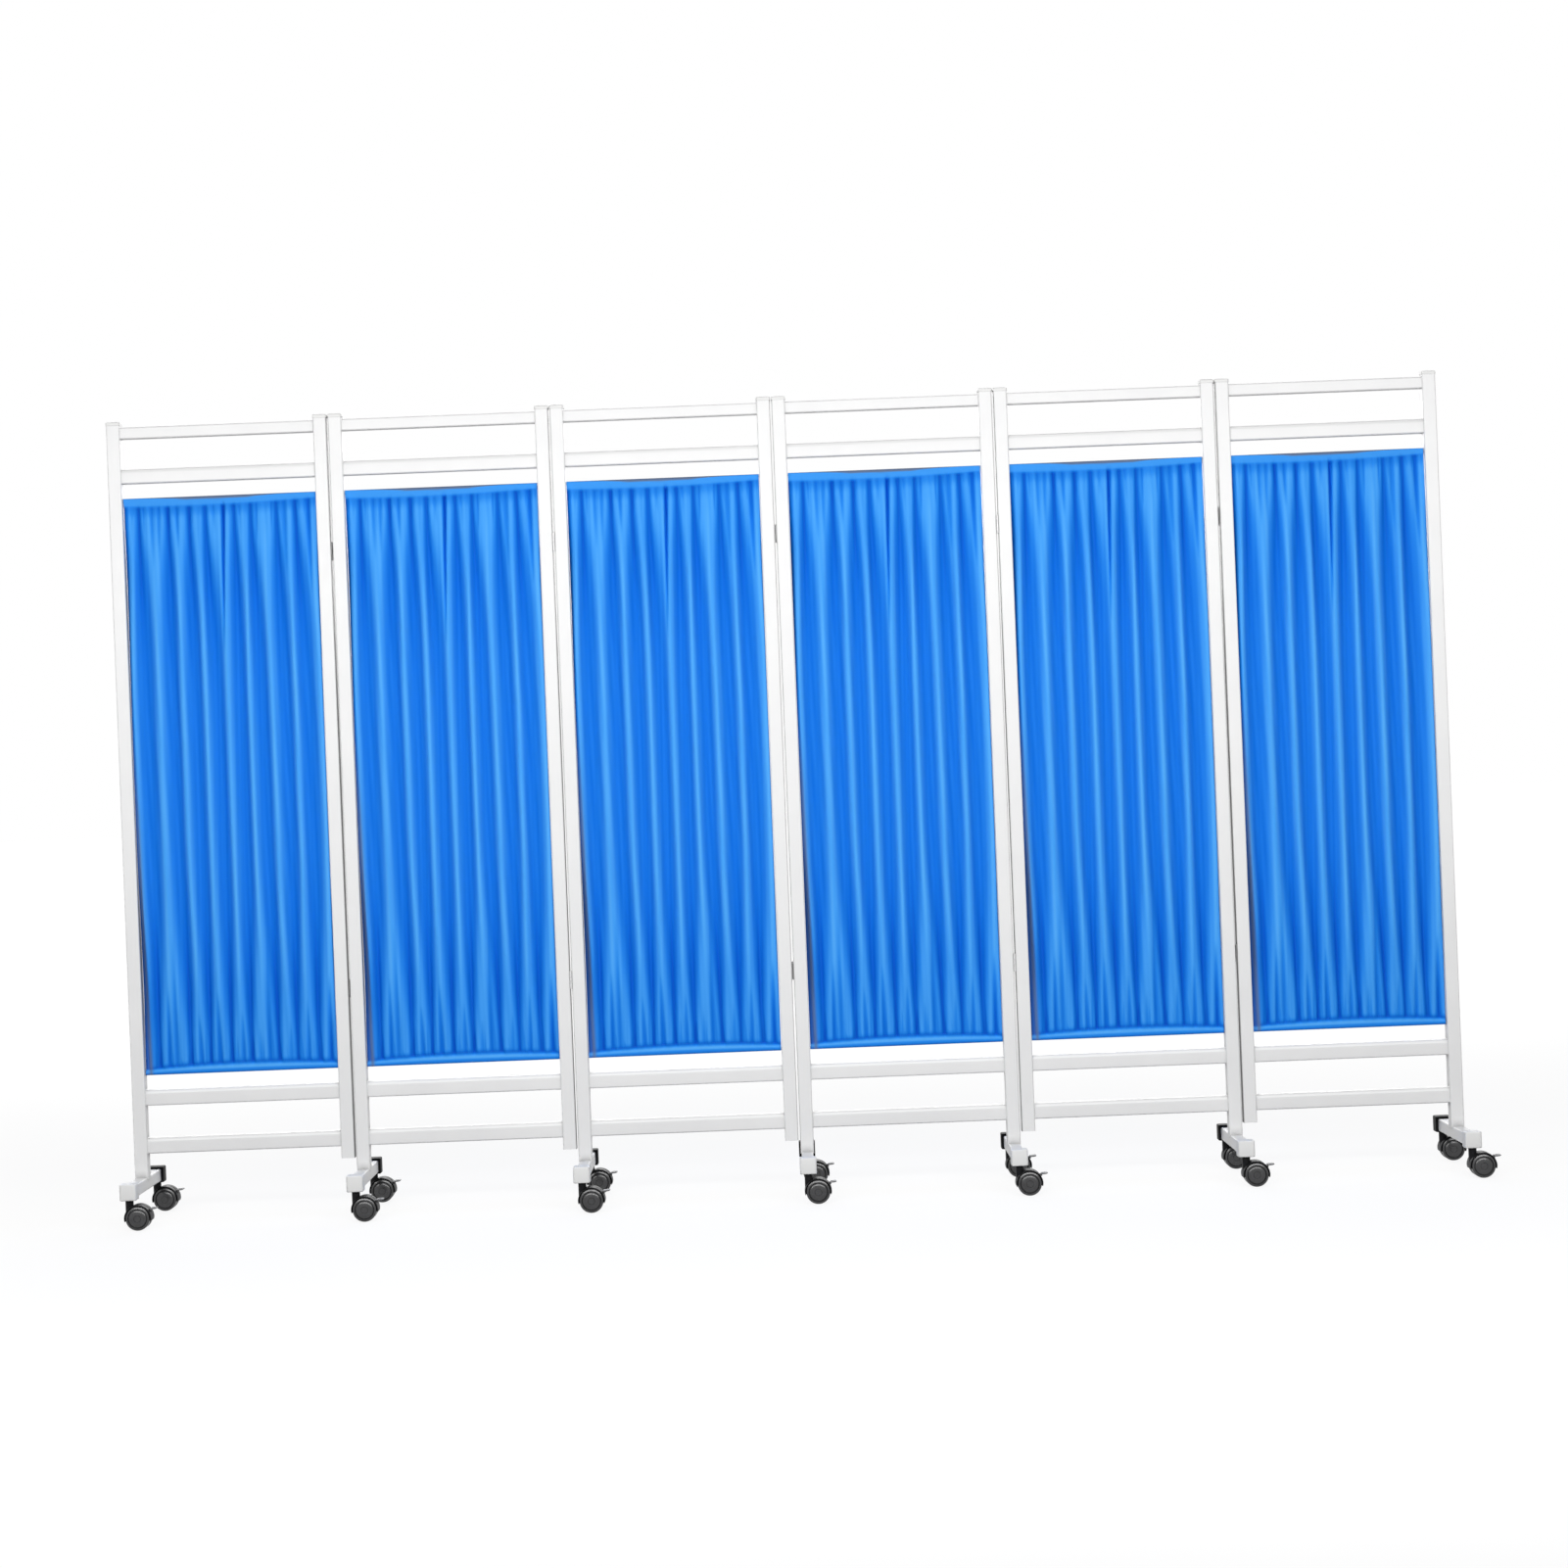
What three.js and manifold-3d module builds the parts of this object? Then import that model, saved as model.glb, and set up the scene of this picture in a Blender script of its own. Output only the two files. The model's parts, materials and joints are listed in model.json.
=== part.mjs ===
// Ward privacy screen on wheels: framed panels hinged side by side in one line. Each panel is a frame of
// box tube with a gathered curtain between an upper and a lower rod. Cross feet with two twin-wheel
// casters each carry the screen.
// Millimetres. X runs along the screen, Y from its front to its back, Z up, the floor is at Z = 0.

import * as THREE from 'three';
import { mergeVertices } from 'three/addons/utils/BufferGeometryUtils.js';
import Module from 'manifold-3d';

const wasm = await Module();
wasm.setup();

// Screen
const panelCount = 6;
const panelPitch = 500;
const panelGap = 4;
const screenHeight = 1800;

// Clearances and joins
const fitGap = 0.3;
const wallOverlap = 0.6;
const cutOverrun = 2;

// Stiles, the upright tubes of a frame
const stileWidth = 30;
const stileDepth = 30;
const stileCorner = 3;
const tubeWall = 1.2;
const shortStileBottom = 123;

// Caps on the stiles
const capHeight = 8;
const capOverhang = 1;
const capCorner = 4;
const capBevel = 2;

// Rails, the level tubes of a frame: two hang from the top of the stiles, two are set up from the floor
const railDepth = 24;
const topRailDrop = 13;
const topRailHeight = 26;
const topWindowHeight = 69;
const secondRailHeight = 32;
const bottomRailTop = 185;
const lowWindowHeight = 73;
const lowRailHeight = 35;

// Curtain rods
const rodRadius = 3;
const rodSides = 6;
const rodToRail = 37;
const rodSeat = 4;

// Curtain
const curtainSideGap = 1;
const pocketHeight = 17;
const pocketCloth = 1.7;
const clothThickness = 2.4;
const foldPitch = 52.2;
const foldDepth = 22;
const firstRidge = 9;
const foldValleyShare = 0.6;
const gatherFoldShare = 0.5;
const gatherHeight = 26;
const fullFoldDrop = 230;

// Hinges, two to each pair of neighbouring stiles
const upperHingeDrop = 308;
const lowerHingeHeight = 504;
const hingeLength = 40;
const knuckleRadius = 2.4;
const knuckleSides = 6;
const hingePinRadius = 1;
const hingePinSetback = 1;
const leafThickness = 1.2;
const leafWidth = 18;

// Cross feet
const footSpan = 300;
const footBarWidth = 26;
const footBarHeight = 28;
const footBlockWidth = 37;
const footBlockLength = 36;
const footBlockBelowBar = 3;
const footBlockAboveBar = 5;
const footBlockCorner = 5;
const drainRadius = 5;
const drainSides = 6;

// Casters, placed from their swivel axis with the wheels trailing along +X; a stem turns in the foot block
const stemRadius = 5;
const stemSides = 6;
const stemLength = 15;
const bossRadius = 9;
const bossSides = 8;
const bossRise = 9;
const bossGap = 0.5;
const casterTrail = 20;
const axleHeight = 26.5;
const wheelWidth = 16;
const wheelSides = 12;
const wheelSideGap = 0.8;
const wheelBevel = 3.5;
const wheelDome = 1.5;
const axleRadius = 3;
const hoodReach = 3.5;
const hoodSides = 14;
const hoodSkirt = 6;
const hoodGap = 0.6;
const bridgeThickness = 8;
const bridgeRadius = 19;
const bridgeSides = 10;
const axleBoreSides = 6;

// Brake pedals, placed from the wheel's axle
const pedalPivotInsetX = 16;
const pedalPivotInsetZ = 13;
const pedalPinRadius = 1.5;
const pedalPinLength = 7.4;
const pedalPinSides = 6;
const pedalArmThickness = 4;
const pedalArmHeight = 6;
const pedalPadWidth = 20;
const pedalPadLength = 14;
const pedalPadInsetX = 3;
const pedalPadInsetZ = 8;
const pedalPadThickness = 4;
const pedalTravelDegrees = 12;

// Sizes that follow
const halfPanel = (panelPitch - panelGap) / 2;
const halfOpening = halfPanel - stileWidth;
const stileCentre = halfPanel - stileWidth / 2;
const stileTop = screenHeight - capHeight;
const topRailTop = screenHeight - topRailDrop;
const secondRailTop = topRailTop - topRailHeight - topWindowHeight;
const lowerRailTop = bottomRailTop + lowWindowHeight + lowRailHeight;
const upperRodHeight = secondRailTop - secondRailHeight - rodToRail;
const lowerRodHeight = lowerRailTop + rodToRail;
const hingeHeights = [screenHeight - upperHingeDrop, lowerHingeHeight];
const hoodRadius = axleHeight + hoodReach;
const bossTop = axleHeight + hoodRadius + bossRise;
const footBlockBottom = bossTop + bossGap;
const footBarBottom = footBlockBottom + footBlockBelowBar;
const footBarTop = footBarBottom + footBarHeight;
const footBlockTop = footBarTop + footBlockAboveBar;
const hingePinY = stileDepth / 2 - hingePinSetback;
const wheelVertexRadius = axleHeight / Math.cos(Math.PI / wheelSides);
const wheelOuterY = bridgeThickness / 2 + wheelSideGap + wheelWidth;
const wellRadius = (wheelVertexRadius + hoodGap) / Math.cos(Math.PI / hoodSides);
const pedalPivotX = hoodRadius - pedalPivotInsetX;
const pedalPivotZ = hoodRadius - pedalPivotInsetZ;
const pedalPadStart = hoodRadius - pedalPadInsetX;
const pedalPadEnd = pedalPadStart + pedalPadLength;
const pedalPadTop = hoodRadius - pedalPadInsetZ;
const middlePanel = panelCount / 2 + 1;
const quarterTurn = Math.PI / 2;

// Turns a closed geometry into a solid for joining and cutting
function solid(geometry) {
  geometry.deleteAttribute('normal');
  geometry.deleteAttribute('uv');
  const merged = mergeVertices(geometry);
  const index = merged.index.array;
  const triangles = [];
  for (let i = 0; i < index.length; i += 3) {
    const [a, b, c] = [index[i], index[i + 1], index[i + 2]];
    if (a !== b && b !== c && c !== a) triangles.push(a, b, c);
  }
  return new wasm.Manifold(new wasm.Mesh({
    numProp: 3,
    vertProperties: Float32Array.from(merged.attributes.position.array),
    triVerts: Uint32Array.from(triangles),
  }));
}

// Turns a solid back into a geometry
function geometryOf(body) {
  const mesh = body.getMesh();
  const geometry = new THREE.BufferGeometry();
  geometry.setAttribute('position', new THREE.BufferAttribute(Float32Array.from(mesh.vertProperties), 3));
  geometry.setIndex(new THREE.BufferAttribute(Uint32Array.from(mesh.triVerts), 1));
  geometry.computeVertexNormals();
  return geometry;
}

// Joins a list of solids
function joined(bodies) {
  return bodies.reduce((whole, body) => whole.add(body));
}

// A box between two corners
function block(low, high) {
  const size = high.map((value, axis) => value - low[axis]);
  const centre = high.map((value, axis) => (value + low[axis]) / 2);
  return solid(new THREE.BoxGeometry(...size).translate(...centre));
}

// An upright cylinder from one height to another, with a flat side facing each way when sides allow
function post(x, y, bottom, top, radius, sides) {
  const shape = new THREE.CylinderGeometry(radius, radius, top - bottom, sides, 1, false, Math.PI / sides);
  return solid(shape.rotateX(quarterTurn).translate(x, y, (bottom + top) / 2));
}

// A cylinder along Y about a point of the XZ plane
function crossPost(x, z, low, high, radius, sides) {
  const shape = new THREE.CylinderGeometry(radius, radius, high - low, sides, 1, false, Math.PI / sides);
  return solid(shape.translate(x, (low + high) / 2, z));
}

// The radius of a faceted bore whose flats clear a round piece
function boreRadius(radius, sides) {
  return (radius + fitGap) / Math.cos(Math.PI / sides);
}

// The points of a rectangle with its corners cut off, centred on zero
function cutRectangle(width, depth, corner) {
  const [x, y] = [width / 2, depth / 2];
  const points = [
    [x, y - corner], [x - corner, y], [corner - x, y], [-x, y - corner],
    [-x, corner - y], [corner - x, -y], [x - corner, -y], [x, corner - y],
  ];
  return points.map((point) => new THREE.Vector2(...point));
}

// An upright tube or column with its corners cut off
function column(x, y, width, depth, corner, bottom, top) {
  const shape = new THREE.Shape(cutRectangle(width, depth, corner));
  const geometry = new THREE.ExtrudeGeometry(shape, { depth: top - bottom, bevelEnabled: false });
  return solid(geometry.translate(x, y, bottom));
}

// A level tube along X, centred, with its upper face at a height
function levelTube(halfLength, height, depth, top) {
  return block([-halfLength, -depth / 2, top - height], [halfLength, depth / 2, top]);
}

// A closed skin over rings of equal point count, stacked upwards. The quads before the given point are
// split along one diagonal and the rest along the other, so that a ring's two long sides can stay parallel
function skin(rings, splitPoint) {
  const count = rings[0].length;
  const index = [];
  for (let level = 0; level + 1 < rings.length; level += 1) {
    for (let i = 0; i < count; i += 1) {
      const a = level * count + i;
      const b = level * count + (i + 1) % count;
      if (i < splitPoint) index.push(a, b, b + count, a, b + count, a + count);
      else index.push(a, b, a + count, b, b + count, a + count);
    }
  }
  const outline = rings[0].map(([x, y]) => new THREE.Vector2(x, y));
  const last = (rings.length - 1) * count;
  for (const [a, b, c] of THREE.ShapeUtils.triangulateShape(outline, [])) {
    index.push(c, b, a);
    index.push(last + a, last + b, last + c);
  }
  const geometry = new THREE.BufferGeometry();
  geometry.setAttribute('position', new THREE.Float32BufferAttribute(rings.flat(2), 3));
  geometry.setIndex(index);
  return solid(geometry);
}

// The cap on a stile, with bevelled upper edges
function cap(x) {
  const ring = (inset, height) => {
    const side = stileWidth + 2 * (capOverhang - inset);
    const face = stileDepth + 2 * (capOverhang - inset);
    const points = cutRectangle(side, face, capCorner - inset);
    return points.map((point) => [x + point.x, point.y, height]);
  };
  return skin([ring(0, stileTop), ring(0, screenHeight - capBevel), ring(capBevel, screenHeight)], 0);
}

// A curtain rod or its hole, along X and centred, at a height
function rod(radius, height, halfLength) {
  const length = 2 * halfLength;
  const shape = new THREE.CylinderGeometry(radius, radius, length, rodSides, 1, false, Math.PI / rodSides);
  return solid(shape.rotateZ(quarterTurn).translate(0, 0, height));
}

// The foot's bar and its end blocks
function foot(x) {
  const barReach = footSpan / 2;
  const bodies = [block(
    [x - footBarWidth / 2, -barReach, footBarBottom],
    [x + footBarWidth / 2, barReach, footBarTop],
  )];
  const [width, length] = [footBlockWidth, footBlockLength];
  for (const y of [-barReach, barReach]) {
    bodies.push(column(x, y, width, length, footBlockCorner, footBlockBottom, footBlockTop));
  }
  return joined(bodies);
}

// The hollow of a foot's bar, the drain hole that opens it and the stile above it, and the stems' bores
function footHollow(x) {
  const reach = (footSpan - footBlockLength) / 2 - tubeWall;
  const half = footBarWidth / 2 - tubeWall;
  const bodies = [
    block([x - half, -reach, footBarBottom + tubeWall], [x + half, reach, footBarTop - tubeWall]),
    post(x, 0, footBarBottom - cutOverrun, footBarTop + 2 * tubeWall, drainRadius, drainSides),
  ];
  const stemBore = boreRadius(stemRadius, stemSides);
  const boreTop = footBlockBottom + stemLength + fitGap;
  for (const y of [-footSpan / 2, footSpan / 2]) {
    bodies.push(post(x, y, footBlockBottom - cutOverrun, boreTop, stemBore, stemSides));
  }
  return joined(bodies);
}

// Hinge pins stand in turn at the back and at the front, so that the screen folds in a zigzag
function hingeSide(junction) {
  return junction % 2 === 1 ? 1 : -1;
}

// The flat leaf on a stile and the webs that reach the knuckles; side is the stile's own side
function hingeLeaf(side, facing, middle, webs) {
  const root = side * (halfPanel - wallOverlap);
  const face = side * (halfPanel + leafThickness);
  const [x0, x1] = [Math.min(root, face), Math.max(root, face)];
  const start = facing * (hingePinY - knuckleRadius - fitGap);
  const far = facing * (hingePinY - leafWidth);
  const bodies = [block(
    [x0, Math.min(start, far), middle - hingeLength / 2],
    [x1, Math.max(start, far), middle + hingeLength / 2],
  )];
  const webX = side * halfPanel;
  for (const [bottom, top] of webs) {
    const inner = start - facing * wallOverlap;
    bodies.push(block(
      [Math.min(webX, face), Math.min(inner, facing * hingePinY), bottom],
      [Math.max(webX, face), Math.max(inner, facing * hingePinY), top],
    ));
  }
  return joined(bodies);
}

// Heights of a hinge's three knuckles
function knuckleSpans(middle) {
  const length = (hingeLength - 2 * fitGap) / 3;
  return [0, 1, 2].map((i) => {
    const bottom = middle - hingeLength / 2 + i * (length + fitGap);
    return [bottom, bottom + length];
  });
}

// The half of a hinge with the outer knuckles and the pin, on a panel's right side
function pinHalf(facing, middle) {
  const x = panelPitch / 2;
  const y = facing * hingePinY;
  const [lower, , upper] = knuckleSpans(middle);
  const bodies = [hingeLeaf(1, facing, middle, [lower, upper])];
  for (const [bottom, top] of [lower, upper]) {
    bodies.push(post(x, y, bottom, top, knuckleRadius, knuckleSides));
  }
  bodies.push(post(x, y, lower[0], upper[1], hingePinRadius, knuckleSides));
  return joined(bodies);
}

// The half of a hinge with the middle knuckle, on a panel's left side
function sleeveHalf(facing, middle) {
  const x = -panelPitch / 2;
  const y = facing * hingePinY;
  const [, span] = knuckleSpans(middle);
  const sleeve = hingeLeaf(-1, facing, middle, [span]).add(post(x, y, ...span, knuckleRadius, knuckleSides));
  const bore = boreRadius(hingePinRadius, knuckleSides);
  return sleeve.subtract(post(x, y, span[0] - cutOverrun, span[1] + cutOverrun, bore, knuckleSides));
}

// True where a panel's stile runs down to a foot; side is -1 on the left and 1 on the right
function hasFoot(panel, side) {
  return side < 0 ? panel <= middlePanel : panel >= middlePanel;
}

// A panel's frame: stiles, caps, rails, lower rod, feet and hinge halves as one hollow weldment
function panelFrame(panel) {
  const bodies = [];
  const hollows = [];
  const inside = (size) => size - 2 * tubeWall;
  const innerCorner = stileCorner - tubeWall;
  for (const side of [-1, 1]) {
    const x = side * stileCentre;
    const long = hasFoot(panel, side);
    const bottom = long ? footBarTop - wallOverlap : shortStileBottom;
    const hollowBottom = long ? footBarTop + tubeWall : shortStileBottom - cutOverrun;
    bodies.push(column(x, 0, stileWidth, stileDepth, stileCorner, bottom, stileTop));
    bodies.push(cap(x));
    hollows.push(column(x, 0, inside(stileWidth), inside(stileDepth), innerCorner, hollowBottom, stileTop));
    if (long) {
      bodies.push(foot(x));
      hollows.push(footHollow(x));
    }
  }
  const rails = [
    [topRailTop, topRailHeight],
    [secondRailTop, secondRailHeight],
    [lowerRailTop, lowRailHeight],
    [bottomRailTop, lowRailHeight],
  ];
  for (const [top, height] of rails) {
    bodies.push(levelTube(halfOpening + wallOverlap, height, railDepth, top));
    const reach = halfOpening + tubeWall + wallOverlap;
    hollows.push(levelTube(reach, inside(height), inside(railDepth), top - tubeWall));
  }
  bodies.push(rod(rodRadius, lowerRodHeight, halfOpening + wallOverlap));
  hollows.push(rod(rodRadius + fitGap, upperRodHeight, halfOpening + tubeWall + wallOverlap));
  for (const middle of hingeHeights) {
    if (panel < panelCount) bodies.push(pinHalf(hingeSide(panel), middle));
    if (panel > 1) bodies.push(sleeveHalf(hingeSide(panel - 1), middle));
  }
  return geometryOf(joined(bodies).subtract(joined(hollows)));
}

// The upper rod, a piece of its own that lifts out of holes in the stiles
function upperRod() {
  return geometryOf(rod(rodRadius, upperRodHeight, halfOpening + rodSeat));
}

// The curtain: one folded sheet with a sewn pocket round each rod
function curtain() {
  const half = halfOpening - curtainSideGap;
  const pocketReach = rodRadius + fitGap + pocketCloth;
  const stations = [-half];
  for (let ridge = firstRidge - half; ridge < half; ridge += foldPitch) {
    stations.push(ridge);
    const valley = ridge + foldValleyShare * foldPitch;
    if (valley < half - fitGap) stations.push(valley);
  }
  if (half - stations[stations.length - 1] > clothThickness) stations.push(half);
  // How far the cloth stands behind its middle plane at a place across it; its ridges stand in front
  const fold = (x) => {
    const turns = (x + half - firstRidge) / foldPitch;
    const phase = turns - Math.floor(turns);
    const share = phase < foldValleyShare ? phase / foldValleyShare : (1 - phase) / (1 - foldValleyShare);
    return foldDepth * share - foldDepth / 2;
  };
  const upper = upperRodHeight + pocketReach;
  const lower = lowerRodHeight - pocketReach;
  // Each level has a height, the fold's strength there and half the depth of the cloth
  const levels = [
    [lower, 0, pocketReach],
    [lower + pocketHeight, 0, pocketReach],
    [lower + pocketHeight + gatherHeight, gatherFoldShare, clothThickness / 2],
    [lower + pocketHeight + fullFoldDrop, 1, clothThickness / 2],
    [upper - pocketHeight - fullFoldDrop, 1, clothThickness / 2],
    [upper - pocketHeight - gatherHeight, gatherFoldShare, clothThickness / 2],
    [upper - pocketHeight, 0, pocketReach],
    [upper, 0, pocketReach],
  ];
  const rings = levels.map(([height, strength, depth]) => {
    const point = (x, side) => [x, strength * fold(x) + side * depth, height];
    const front = stations.map((x) => point(x, -1));
    const back = stations.map((x) => point(x, 1)).reverse();
    return [...front, ...back];
  });
  const upperPocket = rod(rodRadius + fitGap, upperRodHeight, halfOpening);
  const lowerPocket = rod(rodRadius + fitGap, lowerRodHeight, halfOpening);
  return geometryOf(skin(rings, stations.length).subtract(upperPocket).subtract(lowerPocket));
}

// A caster's hood with its swivel boss and stem, its bridge between the wheels and the pedal's slot
function casterHood() {
  const skirt = axleHeight - hoodSkirt;
  const shell = crossPost(casterTrail, axleHeight, -wheelOuterY, wheelOuterY, hoodRadius, hoodSides);
  const below = block(
    [casterTrail - 2 * hoodRadius, -2 * wheelOuterY, -hoodRadius],
    [casterTrail + 2 * hoodRadius, 2 * wheelOuterY, skirt],
  );
  const boss = post(0, 0, skirt, bossTop, bossRadius, bossSides);
  const stem = post(0, 0, bossTop - wallOverlap, footBlockBottom + stemLength, stemRadius, stemSides);
  const halfBridge = bridgeThickness / 2;
  const wells = [-1, 1].map((side) => {
    const ends = [side * halfBridge, side * (wheelOuterY + cutOverrun)];
    const [low, high] = [Math.min(...ends), Math.max(...ends)];
    return crossPost(casterTrail, axleHeight, low, high, wellRadius, hoodSides);
  });
  const bridge = crossPost(casterTrail, axleHeight, -halfBridge, halfBridge, bridgeRadius, bridgeSides);
  const pivotX = casterTrail + pedalPivotX;
  const pivotZ = axleHeight + pedalPivotZ;
  const slotHalf = pedalArmThickness / 2 + fitGap;
  const slotReach = pedalArmHeight * Math.SQRT1_2 + fitGap;
  const drop = (pedalPadStart - pedalPivotX) * Math.sin(pedalTravelDegrees * Math.PI / 180);
  const axleBore = boreRadius(axleRadius, axleBoreSides);
  const pinBore = boreRadius(pedalPinRadius, pedalPinSides);
  const cuts = [
    crossPost(casterTrail, axleHeight, -bridgeThickness, bridgeThickness, axleBore, axleBoreSides),
    block(
      [pivotX - slotReach, -slotHalf, pivotZ - pedalArmHeight / 2 - drop - fitGap],
      [pivotX + hoodRadius, slotHalf, pivotZ + hoodRadius],
    ),
    crossPost(pivotX, pivotZ, -bridgeThickness, bridgeThickness, pinBore, pedalPinSides),
  ];
  const body = shell.add(boss).subtract(below).subtract(joined(wells)).add(bridge).add(stem);
  return geometryOf(body.subtract(joined(cuts)));
}

// A caster's twin wheels on their axle, with a flat facet on the floor
function casterWheels() {
  const inner = bridgeThickness / 2 + wheelSideGap;
  const outer = wheelOuterY;
  const rim = wheelVertexRadius;
  const profile = [
    [0, -outer - wheelDome],
    [rim - 2 * wheelBevel, -outer],
    [rim, -outer + wheelBevel],
    [rim, -inner],
    [axleRadius, -inner],
    [axleRadius, inner],
    [rim, inner],
    [rim, outer - wheelBevel],
    [rim - 2 * wheelBevel, outer],
    [0, outer + wheelDome],
  ].map(([radius, y]) => new THREE.Vector2(radius, y));
  return geometryOf(solid(new THREE.LatheGeometry(profile, wheelSides, Math.PI / wheelSides)));
}

// A brake pedal: a pad outside the hood, an arm in the hood's slot and the pin it turns on
function brakePedal() {
  const arm = pedalArmThickness / 2;
  const reach = pedalArmHeight / 2;
  const pin = pedalPinLength / 2;
  const bodies = [
    crossPost(pedalPivotX, pedalPivotZ, -pin, pin, pedalPinRadius, pedalPinSides),
    block([pedalPivotX - reach, -arm, pedalPivotZ - reach], [pedalPadStart + arm, arm, pedalPivotZ + reach]),
    block(
      [pedalPadStart, -pedalPadWidth / 2, pedalPadTop - pedalPadThickness],
      [pedalPadEnd, pedalPadWidth / 2, pedalPadTop],
    ),
  ];
  return geometryOf(joined(bodies));
}

// Materials
const whitePaint = { color: 0xf1f1f0, roughness: 0.4, metalness: 0.1 };
const rodSteel = { color: 0xb9bbbd, roughness: 0.35, metalness: 0.8 };
const blueCloth = { color: 0x1f78e6, roughness: 0.85, metalness: 0 };
const darkPlastic = { color: 0x2b2c2e, roughness: 0.45, metalness: 0 };
const greyPlastic = { color: 0x7e8082, roughness: 0.45, metalness: 0 };
const wheelPlastic = { color: 0x3a3c3f, roughness: 0.3, metalness: 0 };

// Makes a named mesh with a material of its own
function named(name, geometry, finish) {
  const mesh = new THREE.Mesh(geometry, new THREE.MeshStandardMaterial(finish));
  mesh.name = name;
  return mesh;
}

// One caster, turning on a foot's stem
function caster(label, shapes) {
  const axle = new THREE.Group();
  axle.position.set(casterTrail, 0, axleHeight);
  axle.add(named(`caster_wheels_${label}`, shapes.wheels, wheelPlastic));
  axle.add(named(`brake_pedal_${label}`, shapes.pedal, greyPlastic));
  const group = new THREE.Group();
  group.add(named(`caster_hood_${label}`, shapes.hood, darkPlastic));
  group.add(axle);
  return group;
}

// Assembly
const screen = new THREE.Group();
const curtainShape = curtain();
const rodShape = upperRod();
const casterShapes = { hood: casterHood(), wheels: casterWheels(), pedal: brakePedal() };
let footNumber = 0;
for (let panel = 1; panel <= panelCount; panel += 1) {
  const group = new THREE.Group();
  group.position.x = (panel - (panelCount + 1) / 2) * panelPitch;
  group.add(named(`panel_frame_${panel}`, panelFrame(panel), whitePaint));
  group.add(named(`curtain_${panel}`, curtainShape, blueCloth));
  group.add(named(`upper_curtain_rod_${panel}`, rodShape, rodSteel));
  for (const side of [-1, 1]) {
    if (!hasFoot(panel, side)) continue;
    footNumber += 1;
    for (const [place, y] of [['front', -footSpan / 2], ['rear', footSpan / 2]]) {
      const wheels = caster(`${footNumber}_${place}`, casterShapes);
      wheels.position.set(side * stileCentre, y, 0);
      group.add(wheels);
    }
  }
  screen.add(group);
}

// The origin lies on the floor in the middle of the whole object, from a foot block to a brake pedal
const outerFoot = (panelCount * panelPitch - panelGap - stileWidth) / 2;
const leftEnd = -outerFoot - footBlockWidth / 2;
const rightEnd = outerFoot + casterTrail + pedalPadEnd;
screen.position.x = -(leftEnd + rightEnd) / 2;

export default screen;
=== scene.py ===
"""Ward privacy screen on wheels: white tube frames with gathered blue curtains on braked casters.

Metres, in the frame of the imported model: X along the screen, Y from front to back, Z up, floor at zero.
"""

import json
import math

import bmesh
import bpy
import numpy as np
from mathutils import Matrix, Vector


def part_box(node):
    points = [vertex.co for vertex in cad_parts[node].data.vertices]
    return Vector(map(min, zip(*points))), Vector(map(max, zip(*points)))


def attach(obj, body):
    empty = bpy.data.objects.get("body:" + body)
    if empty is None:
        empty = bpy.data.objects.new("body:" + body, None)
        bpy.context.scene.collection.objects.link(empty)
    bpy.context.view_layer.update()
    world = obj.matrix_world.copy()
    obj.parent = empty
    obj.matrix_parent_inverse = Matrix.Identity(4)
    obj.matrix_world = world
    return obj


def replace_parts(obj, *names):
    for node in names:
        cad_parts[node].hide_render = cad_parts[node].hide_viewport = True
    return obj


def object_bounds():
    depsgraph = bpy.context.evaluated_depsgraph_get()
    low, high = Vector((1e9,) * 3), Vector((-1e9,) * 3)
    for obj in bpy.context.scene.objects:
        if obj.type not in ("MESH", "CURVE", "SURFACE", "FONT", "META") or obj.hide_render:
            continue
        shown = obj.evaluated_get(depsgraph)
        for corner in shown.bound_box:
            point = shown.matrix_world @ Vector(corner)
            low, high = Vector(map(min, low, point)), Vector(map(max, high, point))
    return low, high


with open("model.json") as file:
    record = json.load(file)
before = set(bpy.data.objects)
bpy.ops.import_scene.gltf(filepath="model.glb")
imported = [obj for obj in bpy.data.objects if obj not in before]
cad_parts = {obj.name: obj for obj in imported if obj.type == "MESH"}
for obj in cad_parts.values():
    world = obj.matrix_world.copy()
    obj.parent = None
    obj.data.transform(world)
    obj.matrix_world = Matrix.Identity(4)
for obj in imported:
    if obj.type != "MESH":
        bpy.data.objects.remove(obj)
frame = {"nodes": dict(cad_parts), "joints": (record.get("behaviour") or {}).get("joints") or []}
cad_low, cad_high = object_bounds()
joint_places = {j["name"]: Vector(j["pos_m"]) for j in frame["joints"]}
panel_count = sum(name.startswith("curtain_") for name in frame["nodes"])

# Frame tubes
stile_size = 0.030
stile_corner = 0.0032
tube_wall = 0.0012
rail_depth = 0.024
rail_corner = 0.0034
bevel_height = 0.0075
bevel_depth = 0.0026
weld_reach = 0.0012
weld_waist_share = 0.35
joint_overlap = 0.004
corner_steps = 5
corner_hold = 0.0003
panel_gap = 0.004
short_stile_bottom = 0.123
plug_depth = 0.020

# Rails, each by the height of its upper face and its own height
rails = {
    "top": (1.787, 0.026),
    "second": (1.692, 0.032),
    "lower": (0.293, 0.035),
    "bottom": (0.185, 0.035),
}

# The foot of a rail's bevel, as shares of the bevel's depth and height
bend_shares = ((0.12, 0.12), (0.03, 0), (0, -0.12))

# Caps on the stiles
cap_height = 0.008
cap_overhang = 0.001
cap_corner = 0.0042
cap_dome = 0.0018
cap_edge = 0.0004
cap_band = 0.0012
cap_corner_share = 0.3

# Rings of a cap's dome: how far in from its side, and the share of the dome that is above the ring
cap_dome_rings = ((cap_edge, 1), (0.0014, 0.45), (0.0040, 0.12), (0.0090, 0))

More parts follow.
